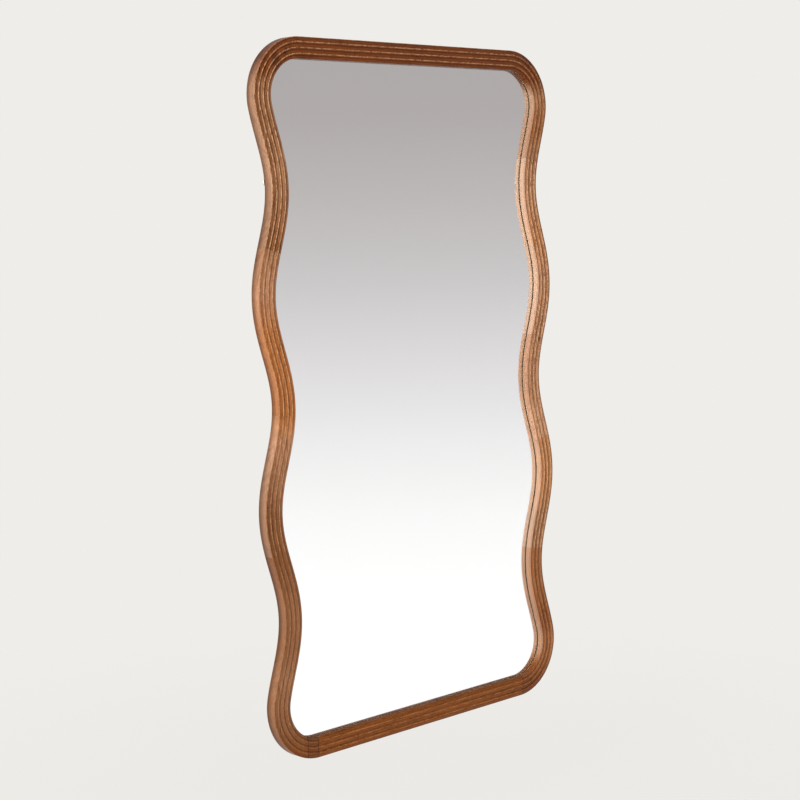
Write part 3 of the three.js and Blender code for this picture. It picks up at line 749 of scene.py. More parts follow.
def make_bumper(node):
    """A button turned about Y: a tapered side, a quarter round at the rim and a shallow dimple."""
    low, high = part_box(node)
    base = (high.x - low.x) / 2
    tip = BUMPER_TAPER * base
    rim = arc((tip - BUMPER_RIM, high.y - BUMPER_RIM), BUMPER_RIM, 0, 90, 6)
    dimple = arc((DIMPLE_RADIUS, high.y), DIMPLE_DEPTH, 0, -90, 5)
    profile = np.concatenate([[(base, low.y)], rim, dimple, [(0.1 * MM, high.y - DIMPLE_DEPTH)]])
    line = middle_of(node) * [1, 0, 1] + np.outer(profile[:, 1], Y_AXIS)
    points, faces = tube_along(line, X_AXIS, Z_AXIS, profile[:, 0], BUMPER_SIDES)
    return make_piece(node.replace("bumper", "rubber_button"), points, faces, 40)


dowels = {node: make_dowel(node) for node in dowel_nodes}
bumpers = {node: make_bumper(node) for node in node_names if node.startswith("bumper_")}
print("dowels:", len(dowels), "bumpers:", len(bumpers))

# %% [markdown]
# ## A map of the frame
#
# The grooves are darkened as stain and painted shade, and the grooves follow the wavy frame. So each
# board gets a UV map that *unrolls* the frame: its first measure is how far along the frame a point
# lies and its second is how far in from the outer edge. On the bends both come from the angle and the
# distance to the corner's centre. On the wave the foot of the perpendicular is found by sliding
# along the curve a few times, for all points at once.

# %% Unroll
MAP_NAME = "frame_map"
SLIDES = 8


def unroll(points):
    """How far along the frame and how far in from its outer edge each point lies."""
    x, z = np.abs(points[:, 0]), np.abs(points[:, 2])
    foot = np.minimum(z, tangent_height)
    for _ in range(SLIDES):
        station = wave(foot)
        off = (x - station[:, 0]) * station[:, 2] + (z - foot) * station[:, 3]
        foot = z - off * station[:, 3]
    angle = np.arctan2(x - arc_x, z - arc_z)
    corner_in = CORNER_RADIUS - np.hypot(x - arc_x, z - arc_z)
    corner_along = tangent_height + bend * (arc_sweep - angle)
    rail_along = tangent_height + bend * arc_sweep + arc_x - x
    on_rail = (x < arc_x) & (z > arc_z)
    on_wave = (foot < tangent_height) & ~on_rail
    across = np.where(on_rail, half_height - z, np.where(on_wave, off + FACE_WIDTH / 2, corner_in))
    along = np.where(on_rail, rail_along, np.where(on_wave, foot, corner_along))
    return np.stack([along, across], axis=1)


def add_frame_map(piece):
    """Stores the unrolled place of every face corner in the board's UV map."""
    mesh = piece.data
    corner_points = np.zeros(len(mesh.loops), int)
    mesh.loops.foreach_get("vertex_index", corner_points)
    unrolled = unroll(points_of(mesh))[corner_points]
    for layer in list(mesh.uv_layers):
        mesh.uv_layers.remove(layer)
    mesh.uv_layers.new(name=MAP_NAME).data.foreach_set("uv", unrolled.ravel())
    return unrolled


widest = max(add_frame_map(piece)[:, 1].max() for piece in boards.values())
print(f"widest board measures {widest:.4f} m across")

# %% [markdown]
# ## Finishes: helpers for nodes
#
# A material is a small graph. These helpers add a node, set its options and fill its sockets with
# values or with links, so that each finish below reads as a short recipe.

# %% Node helpers
def srgb(red, green, blue):
    """A colour as it is seen on the screen, 0 to 255, turned into the linear values of a shader."""
    shown = np.array([red, green, blue]) / 255
    linear = np.where(shown <= 0.04045, shown / 12.92, ((shown + 0.055) / 1.055) ** 2.4)
    return (*linear.tolist(), 1.0)


def fill(tree, node, inputs):
    """Sets sockets of a node. One gets a link if its value is another node's output."""
    for name, value in inputs.items():
        if isinstance(value, bpy.types.NodeSocket):
            tree.links.new(value, node.inputs[name])
        else:
            node.inputs[name].default_value = value


def add(tree, kind, inputs=None, **options):
    """Adds one node, sets its options and fills its sockets."""
    made = tree.nodes.new("ShaderNode" + kind)
    for name, value in options.items():
        setattr(made, name, value)
    fill(tree, made, inputs or {})
    return made


def calc(tree, operation, a, b=0.0, clamp=False):
    """One step of arithmetic."""
    return add(tree, "Math", {0: a, 1: b}, operation=operation, use_clamp=clamp).outputs[0]


def times(tree, first, *others):
    """The product of all values."""
    for other in others:
        first = calc(tree, "MULTIPLY", first, other)
    return first


def plus(tree, a, b):
    """The sum of two values."""
    return calc(tree, "ADD", a, b)


def minus(tree, a, b):
    """The difference of two values."""
    return calc(tree, "SUBTRACT", a, b)


def apart(tree, a, b):
    """How far apart two values are."""
    return calc(tree, "ABSOLUTE", minus(tree, a, b))


def larger(tree, a, b):
    """The larger of two values."""
    return calc(tree, "MAXIMUM", a, b)


def spread(tree, value, low, high, to_low=0.0, to_high=1.0):
    """Maps low..high to to_low..to_high with soft ends, and holds it there beyond them."""
    inputs = {"Value": value, "From Min": low, "From Max": high, "To Min": to_low, "To Max": to_high}
    return add(tree, "MapRange", inputs, interpolation_type="SMOOTHSTEP").outputs["Result"]


def ramp(tree, value, stops):
    """A ramp of colours through (place, colour) stops."""
    made = add(tree, "ValToRGB", {"Fac": value})
    elements = made.color_ramp.elements
    while len(elements) < len(stops):
        elements.new(0.5)
    for element, (place, colour) in zip(elements, stops):
        element.position = place
        element.color = colour
    return made.outputs["Color"]


def blend(tree, share, a, b, kind="MIX"):
    """Two colours mixed by a share."""
    made = add(tree, "Mix", {0: share, 6: a, 7: b}, data_type="RGBA", blend_type=kind)
    return made.outputs[2]


def noise(tree, vector, stretch, detail=2.0, rough=0.5):
    """Soft noise, with one scale or with a scale of its own along each axis."""
    scales = np.broadcast_to(stretch, 3).tolist()
    scaled = add(tree, "VectorMath", {0: vector, 1: scales}, operation="MULTIPLY").outputs[0]
    inputs = {"Vector": scaled, "Scale": 1.0, "Detail": detail, "Roughness": rough}
    return add(tree, "TexNoise", inputs).outputs["Fac"]


def relief(tree, height, strength, distance):
    """A bump that is felt by the light only."""
    return add(tree, "Bump", {"Height": height, "Strength": strength, "Distance": distance}).outputs[0]


def emptied_tree(owner):
    """The node tree of a material or world, with nothing in it."""
    owner.use_nodes = True
    owner.node_tree.nodes.clear()
    return owner.node_tree


def new_material(name):
    """A material with only its output, its surface shader and the object's own coordinates."""
    material = bpy.data.materials.new(name)
    tree = emptied_tree(material)
    surface = add(tree, "BsdfPrincipled")
    add(tree, "OutputMaterial", {"Surface": surface.outputs[0]})
    place = add(tree, "TexCoord").outputs["Object"]
    return material, tree, surface, place


def set_surface(tree, surface, **inputs):
    """Fills the surface shader's sockets, named with _ for a space."""
    fill(tree, surface, {name.replace("_", " "): value for name, value in inputs.items()})


def dress(pieces, material):
    """Gives every piece of a group the same finish."""
    for piece in pieces:
        piece.data.materials.clear()
        piece.data.materials.append(material)


# %% [markdown]
# ## The wood
#
# The frame is brown hardwood under a thin satin finish, and it shows that the boards come from
# different planks: some are dark brown, some golden, some pinkish. The grain is straight along
# each board, so it runs out at the bends, which is only right if the pattern is solid, worked out
# from the place in space and not painted on the surface. Six layers of grain are added up, and a
# ramp turns the sum into a tint that darkens the plank's own tone. The grooves are darkened as stain
# and painted shade, and a painted highlight line runs along each reed. Both follow the frame, so the
# frame map says where they are.

# %% Tones of the wood
TONES = {
    "umber": srgb(127, 66, 26),
    "walnut": srgb(143, 80, 30),
    "russet": srgb(153, 88, 42),
    "brown": srgb(143, 90, 52),
    "chestnut": srgb(156, 104, 68),
    "sienna": srgb(169, 106, 62),
    "hazel": srgb(173, 121, 85),
    "golden": srgb(184, 114, 60),
    "amber": srgb(202, 137, 88),
    "tan": srgb(193, 137, 101),
    "peach": srgb(218, 162, 124),
}
GRAIN_TINTS = [(0.0, (0.42, 0.34, 0.26, 1)), (0.5, (0.74, 0.72, 0.70, 1)), (1.0, (1, 1, 1, 1))]
# Darkens the grooves, as stain and painted shade in the creases.
GROOVE_STAIN_AND_SHADE = (0.40, 0.30, 0.17, 1)
# A painted highlight: the light line along each reed and on the shoulder.
PAINTED_HIGHLIGHT_TONE = srgb(236, 190, 146)
KNOT_TONE = srgb(66, 34, 18)
# A painted sheen on the plain sides and the inner bead.
PAINTED_SHEEN_TONE = srgb(248, 214, 187)
# Painted shade at the back of the outer side.
BACK_EDGE_SHADE = (0.42, 0.40, 0.38, 1)
BARE_TONE = srgb(228, 190, 150)
GLUE_LINE = 1.1 * MM

# %% [markdown]
# ### Where the frame map is read
#
# Counted in reeds from the outer edge, the place across the face has a fraction that is near 0 or
# 1 in a groove and 0.5 on a crest. The painted highlight line lies near the crest along the sides.
# Round the bends it moves a little past the crest and grows fainter, and the painted sheen of the
# plain sides ends.

# %% Grooves, painted highlight lines and painted shade at the back edge
GROOVE_START, GROOVE_FULL = 0.36, 0.49
FIRST_FLANK_PLACE = 0.05
HIGHLIGHT_PLACE_RAIL = 0.68
HIGHLIGHT_RAIL_STRENGTH = 0.45
HIGHLIGHT_HALF_WIDTH = 0.15
SHOULDER_HIGHLIGHT = 0.3
FINGER_STAIN = 0.3
FADE_START = 50 * MM
FADE_END = 120 * MM
BEAD_SHEEN = 0.6
rail_start = tangent_height + bend * arc_sweep


def frame_places(tree, place):
    """How far along and across the frame a point lies, counted in metres and in reeds, and a
    share that is 1 on the reeded face and 0 behind it."""
    unrolled = add(tree, "SeparateXYZ", {0: add(tree, "UVMap", uv_map=MAP_NAME).outputs[0]}).outputs
    reeds = calc(tree, "DIVIDE", minus(tree, unrolled["Y"], SHOULDER_FLAT), REED_WIDTH)
    depth = add(tree, "SeparateXYZ", {0: place}).outputs["Y"]
    on_face = spread(tree, depth, back_y - SHOULDER_HEIGHT + 3 * MM, back_y - SHOULDER_HEIGHT + MM)
    return unrolled["X"], unrolled["Y"], reeds, depth, on_face


def groove_share(tree, reeds, on_face):
    """1 in the grooves and 0 on the reeds."""
    to_groove = apart(tree, calc(tree, "FRACT", reeds), 0.5)
    return times(tree, spread(tree, to_groove, GROOVE_START, GROOVE_FULL), on_face)


def first_flank_share(tree, reeds, on_face):
    """1 in the first groove, next to the shoulder, fading out up the flank of the first reed."""
    off = apart(tree, reeds, FIRST_FLANK_PLACE)
    return times(tree, spread(tree, off, 0.45, 0.05), on_face)


def straight_share(tree, along):
    """1 along the sides, fading out on the bends."""
    return spread(tree, along, tangent_height + FADE_END, tangent_height + FADE_START)


def painted_sheen_share(tree, along, reeds, on_face):
    """1 on the plain sides and the inner bead of a stile, where a painted sheen lightens the wood."""
    bead = spread(tree, reeds, REED_COUNT, REED_COUNT + 0.3, 0.0, BEAD_SHEEN)
    plain = larger(tree, minus(tree, 1.0, on_face), bead)
    return times(tree, plain, straight_share(tree, along))


def painted_highlight_share(tree, along, reeds, on_face, crest):
    """1 on a painted highlight line along each of the three reeds, and 0 on the inner bead."""
    line = spread(tree, along, tangent_height, rail_start, crest, HIGHLIGHT_PLACE_RAIL)
    off = apart(tree, calc(tree, "FRACT", reeds), line)
    near = spread(tree, off, HIGHLIGHT_HALF_WIDTH, 0.2 * HIGHLIGHT_HALF_WIDTH)
    on_reed = times(tree, on_face, calc(tree, "LESS_THAN", reeds, REED_COUNT))
    faint = spread(tree, along, tangent_height, rail_start, 1.0, HIGHLIGHT_RAIL_STRENGTH)
    return times(tree, near, on_reed, faint)


def shoulder_highlight_share(tree, across, depth):
    """Highest on the rounded edge between the outer side and the face, which gets a painted highlight too.
    """
    front = back_y - SHOULDER_HEIGHT
    to_front = spread(tree, depth, front + 4 * MM, front + 2 * MM, 0.0, SHOULDER_HIGHLIGHT)
    return times(tree, spread(tree, across, 2.4 * MM, 1.2 * MM), to_front)


def back_edge_shade_share(tree, across, depth):
    """1 at the back of the outer side, fading out on the way to the front, where painted shade darkens the
    side.
    """
    on_side = spread(tree, across, 3 * MM, MM)
    return times(tree, on_side, spread(tree, depth, back_y - 23 * MM, back_y - 3 * MM))


def bare_share(tree, across, depth):
    """1 in the rebate behind the lip, where the wood was never stained."""
    lip_rear = back_y - lip_height
    behind = spread(tree, depth, lip_rear - 0.6 * MM, lip_rear - 0.1 * MM)
    return times(tree, behind, spread(tree, across, back_width - MM, back_width))


def finger_share(tree, place):
    """1 on the two lines where fingers end, whose end grain took up stain and glue, and a little
    of it on the fingers between those lines."""
    from_middle = calc(tree, "ABSOLUTE", add(tree, "SeparateXYZ", {0: place}).outputs["X"])
    off_start = apart(tree, from_middle, finger_start)
    off_end = apart(tree, from_middle, finger_end)
    line = spread(tree, calc(tree, "MINIMUM", off_start, off_end), 2 * GLUE_LINE, 0.5 * GLUE_LINE)
    past_start = spread(tree, from_middle, finger_start - MM, finger_start + MM)
    before_end = spread(tree, from_middle, finger_end + MM, finger_end - MM)
    between = times(tree, past_start, before_end, FINGER_STAIN)
    return larger(tree, line, between)


def knot_share(tree, place, knots):
    """1 inside any of the knots, given as (x, z, radius), with soft wavy rims."""
    wander = noise(tree, place, (60, 60, 60))
    share = 0.0
    for x, z, radius in knots:
        offset = add(tree, "VectorMath", {0: place, 1: (x, back_y, z)}, operation="SUBTRACT").outputs[0]
        flat = add(tree, "VectorMath", {0: offset, 1: (1, 0, 0.6)}, operation="MULTIPLY").outputs[0]
        reach = add(tree, "VectorMath", {0: flat}, operation="LENGTH").outputs["Value"]
        uneven = times(tree, reach, plus(tree, wander, 0.5))
        share = larger(tree, share, spread(tree, uneven, radius, 0.4 * radius))
    return share


# %% [markdown]
# ### The grain
#
# Broad figure, growth rings about a pith that lies outside the board, long streaks, short strokes,
# flecks and fine fibre: each is noise stretched along the board, and together they look like
# quarter sawn hardwood. Pores are the smallest, dark dashes that are felt as well as seen.

# %% Layers of grain
GRAIN_LAYERS = {
    "figure": ((34, 34, 3.0), 0.14),
    "streaks": ((230, 230, 8), 0.24),
    "strokes": ((360, 360, 60), 0.26),
    "flecks": ((420, 420, 230), 0.22),
    "fibre": ((900, 900, 14), 0.06),
}
RING_WEIGHT = 0.10
RINGS_PER_METRE = 240.0
PITH_OFFSET = [0.05, 0.09]
TONE_WANDER = 0.04


def grain_layers(tree, grain, shift):
    """The weighted sum of all layers, near 0.5 on average, and the layers by name."""
    layers = {name: noise(tree, grain, stretch, 3, 0.6) for name, (stretch, _) in GRAIN_LAYERS.items()}
    pith = add(tree, "VectorMath", {0: grain, 1: (*(shift[:2] + PITH_OFFSET), 0)}, operation="SUBTRACT")
    radial = add(tree, "VectorMath", {0: pith.outputs[0], 1: (1, 1, 0)}, operation="MULTIPLY").outputs[0]
    radius = add(tree, "VectorMath", {0: radial}, operation="LENGTH").outputs["Value"]
    wavy = plus(tree, radius, times(tree, noise(tree, grain, (9, 9, 1.6)), 0.012))
    rings = add(tree, "TexNoise", {"W": wavy, "Scale": RINGS_PER_METRE}, noise_dimensions="1D")
    total = times(tree, rings.outputs["Fac"], RING_WEIGHT)
    for name, (_, weight) in GRAIN_LAYERS.items():
        total = plus(tree, total, times(tree, layers[name], weight))
    return total, layers


def plank_tone(tree, place, tones, axis):
    """The plank's own tone: a ramp along the board through (place, tone) stops."""
    start, length = tones[0][0], tones[-1][0] - tones[0][0]
    travelled = add(tree, "SeparateXYZ", {0: place}).outputs[axis]
    uneven = plus(tree, travelled, times(tree, noise(tree, place, (20, 20, 6)), TONE_WANDER))
    share = calc(tree, "DIVIDE", minus(tree, uneven, start + TONE_WANDER / 2), length, clamp=True)
    return ramp(tree, share, [((at - start) / length, TONES[tone]) for at, tone in tones])


# %% [markdown]
# ### One recipe for all boards
#
# The layers go on in this order: the plank with its grain, pores and knots, then the stain in the
# joints, the stain and painted shade in the grooves, a painted sheen on the flat sides, painted shade
# at the back of the outer side, a painted highlight along each reed, and what was never stained. A
# painted texture could hold the same, but nodes stay sharp from close by and let every board differ
# by a few numbers.

# %% Wood recipe
TINT_HALF_RANGE = 0.11
PORE_STRENGTH = 0.35
KNOT_STRENGTH = 0.7
DASH_LOW, DASH_HIGH = 0.42, 0.57
GROOVE_ROUGHNESS = 0.4
PORE_RELIEF = 0.8


def wood(
    name, seed, tones, along_x=False, contrast=1.0, grooves=0.8, first_groove=0.2, highlight=0.4, crest=0.53,
    pale=0.0, knots=(), fingers=0.0,
):
    """One board's wood. tones is a list of (place, tone) stops from its lower or left end, contrast
    is how strongly the grain shows, grooves is the strength of the stain and painted shade in the
    grooves, highlight is the strength of the painted highlight line, first_groove is the extra
    darkening next to the shoulder, crest is where on a reed the painted highlight line lies, pale
    is how much lighter the painted sheen makes the plain sides than the face, and fingers is the
    stain in the finger joint."""
    material, tree, surface, place = new_material(name)
    shift = np.random.default_rng(seed).uniform(-3, 3, 3)
    turn = (0.0, math.pi / 2 if along_x else 0.0, 0.0)
    grain = add(tree, "Mapping", {"Vector": place, "Rotation": turn, "Location": shift}).outputs[0]
    total, layers = grain_layers(tree, grain, shift)
    pore = spread(tree, noise(tree, grain, (1500, 1500, 60), 1), 0.60, 0.70)

    half_range = TINT_HALF_RANGE / contrast
    limits = {"Value": total, "From Min": 0.5 - half_range, "From Max": 0.5 + half_range}
    tint = ramp(tree, add(tree, "MapRange", limits).outputs["Result"], GRAIN_TINTS)
    colour = blend(tree, 1.0, plank_tone(tree, place, tones, "X" if along_x else "Z"), tint, "MULTIPLY")
    colour = blend(tree, times(tree, pore, PORE_STRENGTH), colour, KNOT_TONE)
    if knots:
        knotty = times(tree, knot_share(tree, place, knots), KNOT_STRENGTH)
        colour = blend(tree, knotty, colour, KNOT_TONE)
    if fingers:
        colour = blend(tree, times(tree, finger_share(tree, place), fingers), colour, KNOT_TONE)

    along, across, reeds, depth, on_face = frame_places(tree, place)
    groove = groove_share(tree, reeds, on_face)
    flank = times(tree, first_flank_share(tree, reeds, on_face), first_groove)
    # The grooves are darkened as stain and painted shade, and the first flank next to the shoulder is
    # darker.
    stained = larger(tree, times(tree, groove, grooves), flank)
    colour = blend(tree, stained, colour, GROOVE_STAIN_AND_SHADE, "MULTIPLY")
    # A painted sheen lightens the plain sides and the inner bead.
    plain = times(tree, painted_sheen_share(tree, along, reeds, on_face), pale)
    colour = blend(tree, plain, colour, PAINTED_SHEEN_TONE)
    # Painted shade darkens the back of the outer side.
    colour = blend(tree, back_edge_shade_share(tree, across, depth), colour, BACK_EDGE_SHADE, "MULTIPLY")
    # A painted highlight line runs along each reed and on the shoulder, broken by the grain.
    dashes = times(tree, plus(tree, layers["strokes"], layers["flecks"]), 0.5)
    broken = spread(tree, dashes, DASH_LOW, DASH_HIGH, 0.15, 1.2)
    line = painted_highlight_share(tree, along, reeds, on_face, crest)
    painted_highlight = times(tree, larger(tree, line, shoulder_highlight_share(tree, across, depth)), broken)
    colour = blend(tree, calc(tree, "MULTIPLY", painted_highlight, highlight, clamp=True), colour, PAINTED_HIGHLIGHT_TONE)
    colour = blend(tree, bare_share(tree, across, depth), colour, BARE_TONE)

    uneven = plus(tree, layers["fibre"], times(tree, groove, GROOVE_ROUGHNESS))
    rough = spread(tree, uneven, 0.3, 1.1, 0.34, 0.60)
    raised = plus(tree, layers["fibre"], layers["strokes"])
    bump = relief(tree, minus(tree, raised, times(tree, pore, PORE_RELIEF)), 0.4, 0.2 * MM)
    set_surface(tree, surface, Base_Color=colour, Roughness=rough, Normal=bump, Specular_IOR_Level=0.1)
    return material


# %% [markdown]
# ### Each board's own plank
#
# The rails are plain dark brown. The left side is dark at its upper corner and turns paler and
# golden below, and the right side goes from reddish brown through tan and pinkish boards back to
# brown. The places are heights, or distances from the middle on the rails.

# %% The eleven boards' woods
# Each board sets how strong its painted highlight line, painted sheen and painted groove shade are.
BOARD_WOODS = {
    "top_rail": dict(
        seed=11, along_x=True, grooves=0.6, highlight=0.75,
        tones=[(-0.4, "umber"), (0.4, "umber")],
    ),
    "bottom_rail": dict(
        seed=12, along_x=True, contrast=1.4, grooves=0.15, highlight=0.3, fingers=0.9,
        tones=[(-0.4, "walnut"), (0.4, "walnut")],
    ),
    "corner_top_left": dict(
        seed=13, contrast=1.8, first_groove=0.7, highlight=0.9, crest=0.6, pale=0.15,
        tones=[(0.38, "brown"), (0.46, "chestnut"), (0.56, "hazel"), (0.67, "chestnut"), (0.735, "chestnut"),
               (0.775, "umber")],
        knots=((-0.43, 0.79, 0.016), (-0.40, 0.815, 0.008)),
    ),
    "corner_top_right": dict(
        seed=14, contrast=1.4, highlight=0.4, pale=0.28,
        knots=((0.407, 0.838, 0.009), (0.418, 0.829, 0.006), (0.431, 0.819, 0.007)),
        tones=[(0.58, "hazel"), (0.65, "sienna"), (0.74, "hazel"), (0.78, "umber")],
    ),
    "left_stile_upper": dict(
        seed=17, contrast=1.3, grooves=0.6, first_groove=0.6, highlight=0.6, crest=0.58, pale=0.07,
        tones=[(-0.02, "golden"), (0.17, "golden"), (0.26, "tan"), (0.35, "hazel")],
    ),
    "left_stile_lower": dict(
        seed=18, contrast=1.3, grooves=0.25, first_groove=0.65, highlight=0.4, crest=0.58, pale=0.14,
        tones=[(-0.34, "brown"), (-0.26, "brown"), (-0.21, "chestnut"), (-0.15, "hazel"), (-0.08, "tan"),
               (-0.05, "amber"), (-0.02, "golden")],
    ),
    "corner_bottom_left": dict(
        seed=15, contrast=0.8, grooves=0.5, first_groove=0.5, highlight=0.2, crest=0.58, pale=0.04, fingers=0.9,
        tones=[(-0.83, "walnut"), (-0.78, "brown"), (-0.72, "chestnut"), (-0.65, "hazel"),
               (-0.57, "chestnut"), (-0.48, "chestnut"), (-0.38, "brown")],
    ),
    "right_stile_upper": dict(
        seed=19, contrast=1.5, highlight=0.9, pale=0.5,
        tones=[(0.11, "tan"), (0.28, "tan"), (0.37, "amber"), (0.46, "tan"), (0.56, "hazel")],
    ),
    "right_stile_middle": dict(
        seed=20, contrast=1.4, highlight=0.6, pale=0.2, knots=((0.452, 0.105, 0.008),),
        tones=[(-0.15, "peach"), (-0.09, "peach"), (-0.03, "tan"), (0.1, "tan")],
    ),
    "right_stile_lower": dict(
        seed=21, contrast=1.4, highlight=0.8, pale=0.42,
        tones=[(-0.46, "hazel"), (-0.38, "hazel"), (-0.30, "amber"), (-0.17, "amber")],
    ),
    "corner_bottom_right": dict(
        seed=16, highlight=0.25, pale=0.28,
        tones=[(-0.82, "umber"), (-0.76, "sienna"), (-0.71, "sienna"), (-0.65, "russet"), (-0.56, "sienna")],
    ),
}
for node, recipe in BOARD_WOODS.items():
    dress([boards[node]], wood(f"wood_of_{node}", **recipe))
print("woods:", len(BOARD_WOODS))

# %% [markdown]
# ## Glass and silver
#
# A mirror is seen through its own glass: light passes the front, meets the silver behind, and
# comes out again a little further on. That is why a dark line shows between the frame's inner
# edge and its reflection. So the pane is real glass with a bright metal on its rear face only.

# %% The pane's two finishes
def glass_finish():
    """Clear float glass with a breath of green."""
    material, tree, surface, place = new_material("clear_float_glass")
    colour = blend(tree, noise(tree, place, 3), (0.985, 0.992, 0.99, 1), (0.99, 0.995, 0.992, 1))
    set_surface(tree, surface, Base_Color=colour, Roughness=0.0, IOR=1.52, Transmission_Weight=1.0)
    return material


def silver_finish():
    """Silvering: a metal that reflects nearly all light, with the faintest unevenness."""
    material, tree, surface, place = new_material("silvering")
    colour = blend(tree, noise(tree, place, 5), (0.955, 0.955, 0.955, 1), (0.965, 0.965, 0.965, 1))
    set_surface(tree, surface, Base_Color=colour, Roughness=0.0, Metallic=1.0)
    return material


dress([pane], glass_finish())
pane.data.materials.append(silver_finish())
normals = np.zeros(len(pane.data.polygons) * 3)
pane.data.polygons.foreach_get("normal", normals)
faces_wall = normals.reshape(-1, 3)[:, 1] > 0.99
pane.data.polygons.foreach_set("material_index", faces_wall.astype(np.int32))
print("silvered faces:", int(faces_wall.sum()))

# %% [markdown]
# ## The other finishes
#
# The backing board is hardboard, pressed brown fibres with darker specks. The hangers and screws
# are zinc plated steel with cloudy patches, the bumpers and setting blocks are matt black rubber,
# and the dowels are pale beech with its short dark rays.

# %% Board, steel, rubber and beech
MIDDLE_RANGE = (0.3, 0.7)


def hardboard_finish():
    """Pressed fibre: two browns in fine felted noise, with specks and a matt grain."""
    material, tree, surface, place = new_material("hardboard")
    felt = noise(tree, place, 420, 4, 0.7)
    cloud = noise(tree, place, 7, 3)
    speck = spread(tree, noise(tree, place, 900, 1), 0.66, 0.74)
    share = plus(tree, times(tree, felt, 0.6), times(tree, cloud, 0.4))
    colour = ramp(tree, share, [(0.35, srgb(94, 66, 42)), (0.65, srgb(132, 98, 66))])
    colour = blend(tree, times(tree, speck, 0.6), colour, srgb(58, 38, 24))
    rough = spread(tree, felt, *MIDDLE_RANGE, 0.7, 0.9)
    bump = relief(tree, felt, 0.4, 0.2 * MM)
    set_surface(tree, surface, Base_Color=colour, Roughness=rough, Normal=bump)
    return material


def zinc_finish():
    """Bright zinc: metal with slightly blue and slightly yellow clouds and fine rolling lines."""
    material, tree, surface, place = new_material("zinc_plate")
    cloud = noise(tree, place, 160, 3, 0.6)
    lines = noise(tree, place, (300, 2500, 2500), 2, 0.6)
    colour = ramp(tree, cloud, [(0.35, srgb(196, 202, 210)), (0.65, srgb(222, 218, 204))])
    rough = spread(tree, cloud, *MIDDLE_RANGE, 0.24, 0.42)
    bump = relief(tree, lines, 0.25, 0.05 * MM)
    set_surface(tree, surface, Base_Color=colour, Roughness=rough, Normal=bump, Metallic=1.0)
    return material


def rubber_finish():
    """Black rubber with a dusty bloom and a fine moulded grain."""
    material, tree, surface, place = new_material("black_rubber")
    grain = noise(tree, place, 1400, 3, 0.6)
    bloom = noise(tree, place, 60, 3)
    colour = ramp(tree, bloom, [(0.35, srgb(26, 26, 27)), (0.7, srgb(48, 47, 46))])
    rough = spread(tree, bloom, *MIDDLE_RANGE, 0.7, 0.88)
    set_surface(tree, surface, Base_Color=colour, Roughness=rough, Normal=relief(tree, grain, 0.3, 0.1 * MM))
    return material


def beech_finish():
    """Beech: pale pinkish wood with short dark rays."""
    material, tree, surface, place = new_material("beech")
    tone = noise(tree, place, (300, 300, 40), 3)
    ray = spread(tree, noise(tree, place, (1300, 1300, 260), 1), 0.62, 0.7)
    colour = ramp(tree, tone, [(0.35, srgb(196, 158, 116)), (0.65, srgb(220, 186, 146))])
    colour = blend(tree, times(tree, ray, 0.5), colour, srgb(140, 96, 60))
    set_surface(tree, surface, Base_Color=colour, Roughness=spread(tree, tone, *MIDDLE_RANGE, 0.6, 0.75))
    return material


block_nodes = [name for name in node_names if name.startswith("setting_block_")]
dress([board], hardboard_finish())
dress([*screws.values(), *rings.values(), *straps.values()], zinc_finish())
dress([*bumpers.values(), *[frame["nodes"][name] for name in block_nodes]], rubber_finish())
dress(dowels.values(), beech_finish())

# %% [markdown]
# ## Riding on the imported bodies
#
# Every new piece stands for one node of the imported model and moves with that node's body. The two
# rings each ride on a body of their own. The setting blocks are shown as they are.

# %% Tie the pieces to the model
stands_for = {**boards, **screws, **dowels, **bumpers, "mirror_glass": pane, "backing_board": board}
for side in rings:
    stands_for[f"{side}_hanger_ring"] = rings[side]
    stands_for[f"{side}_hanger_strap"] = straps[side]
for node, piece in stands_for.items():
    body = f"{node.split('_')[0]}_ring" if node.endswith("_hanger_ring") else "mirror"
    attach(piece, body)
    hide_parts(node)
print("pieces:", len(stands_for), "and", len(block_nodes), "shown as packed")

# %% [markdown]
# ## Light, floor and background
#
# The mirror shows what stands in front of it, so the studio matters as much as the wood. Mirrors
# and metal see one smooth sweep of light: white below, grey at eye height and paler again above.
# The camera itself sees a plain pale background, and matt surfaces get the same soft light from
# all round. A large soft lamp on the left, nearly in line with the wall, brings out the reeds and
# the frame's sides, and a weaker one in front fills the face.

# %% The studio
BACKGROUND = srgb(239, 237, 233)
SWEEP = (
    (-12.6, (1.08, 1.075, 1.07)),
    (-10.0, (1.01, 1.005, 1.00)),
    (-7.4, (0.895, 0.887, 0.887)),
    (-4.8, (0.764, 0.741, 0.748)),
    (-2.2, (0.625, 0.611, 0.611)),
    (0.4, (0.532, 0.506, 0.50)),
    (3.0, (0.46, 0.43, 0.425)),
    (12.0, (0.40, 0.385, 0.385)),
    (28.0, (0.85, 0.85, 0.86)),
)
AMBIENT = 0.40
FLOOR_Z = -1.15
FLOOR_RADIUS = 7.0
SHADOW_START, SHADOW_END = 0.5, 2.5
LIT_SHARE = 0.10


def make_world():
    """The sweep is a ramp over the height of the direction, which is the sine of its elevation.
    The kind of ray picks the sweep, the soft light or the plain background."""
    world = bpy.data.worlds.new("studio")
    bpy.context.scene.world = world
    tree = emptied_tree(world)
    height = add(tree, "SeparateXYZ", {0: add(tree, "TexCoord").outputs["Generated"]}).outputs["Z"]
    share = times(tree, plus(tree, height, 1.0), 0.5)
    stops = [((math.sin(math.radians(angle)) + 1) / 2, (*colour, 1.0)) for angle, colour in SWEEP]
    sweep = add(tree, "Background", {"Color": ramp(tree, share, stops)}).outputs[0]
    soft = add(tree, "Background", {"Color": (AMBIENT, AMBIENT, AMBIENT, 1)}).outputs[0]
    plain = add(tree, "Background", {"Color": BACKGROUND}).outputs[0]
    ray = add(tree, "LightPath").outputs
    lit = add(tree, "MixShader", {0: ray["Is Diffuse Ray"], 1: sweep, 2: soft}).outputs[0]
    seen = add(tree, "MixShader", {0: ray["Is Camera Ray"], 1: lit, 2: plain}).outputs[0]
    add(tree, "OutputWorld", {"Surface": seen})


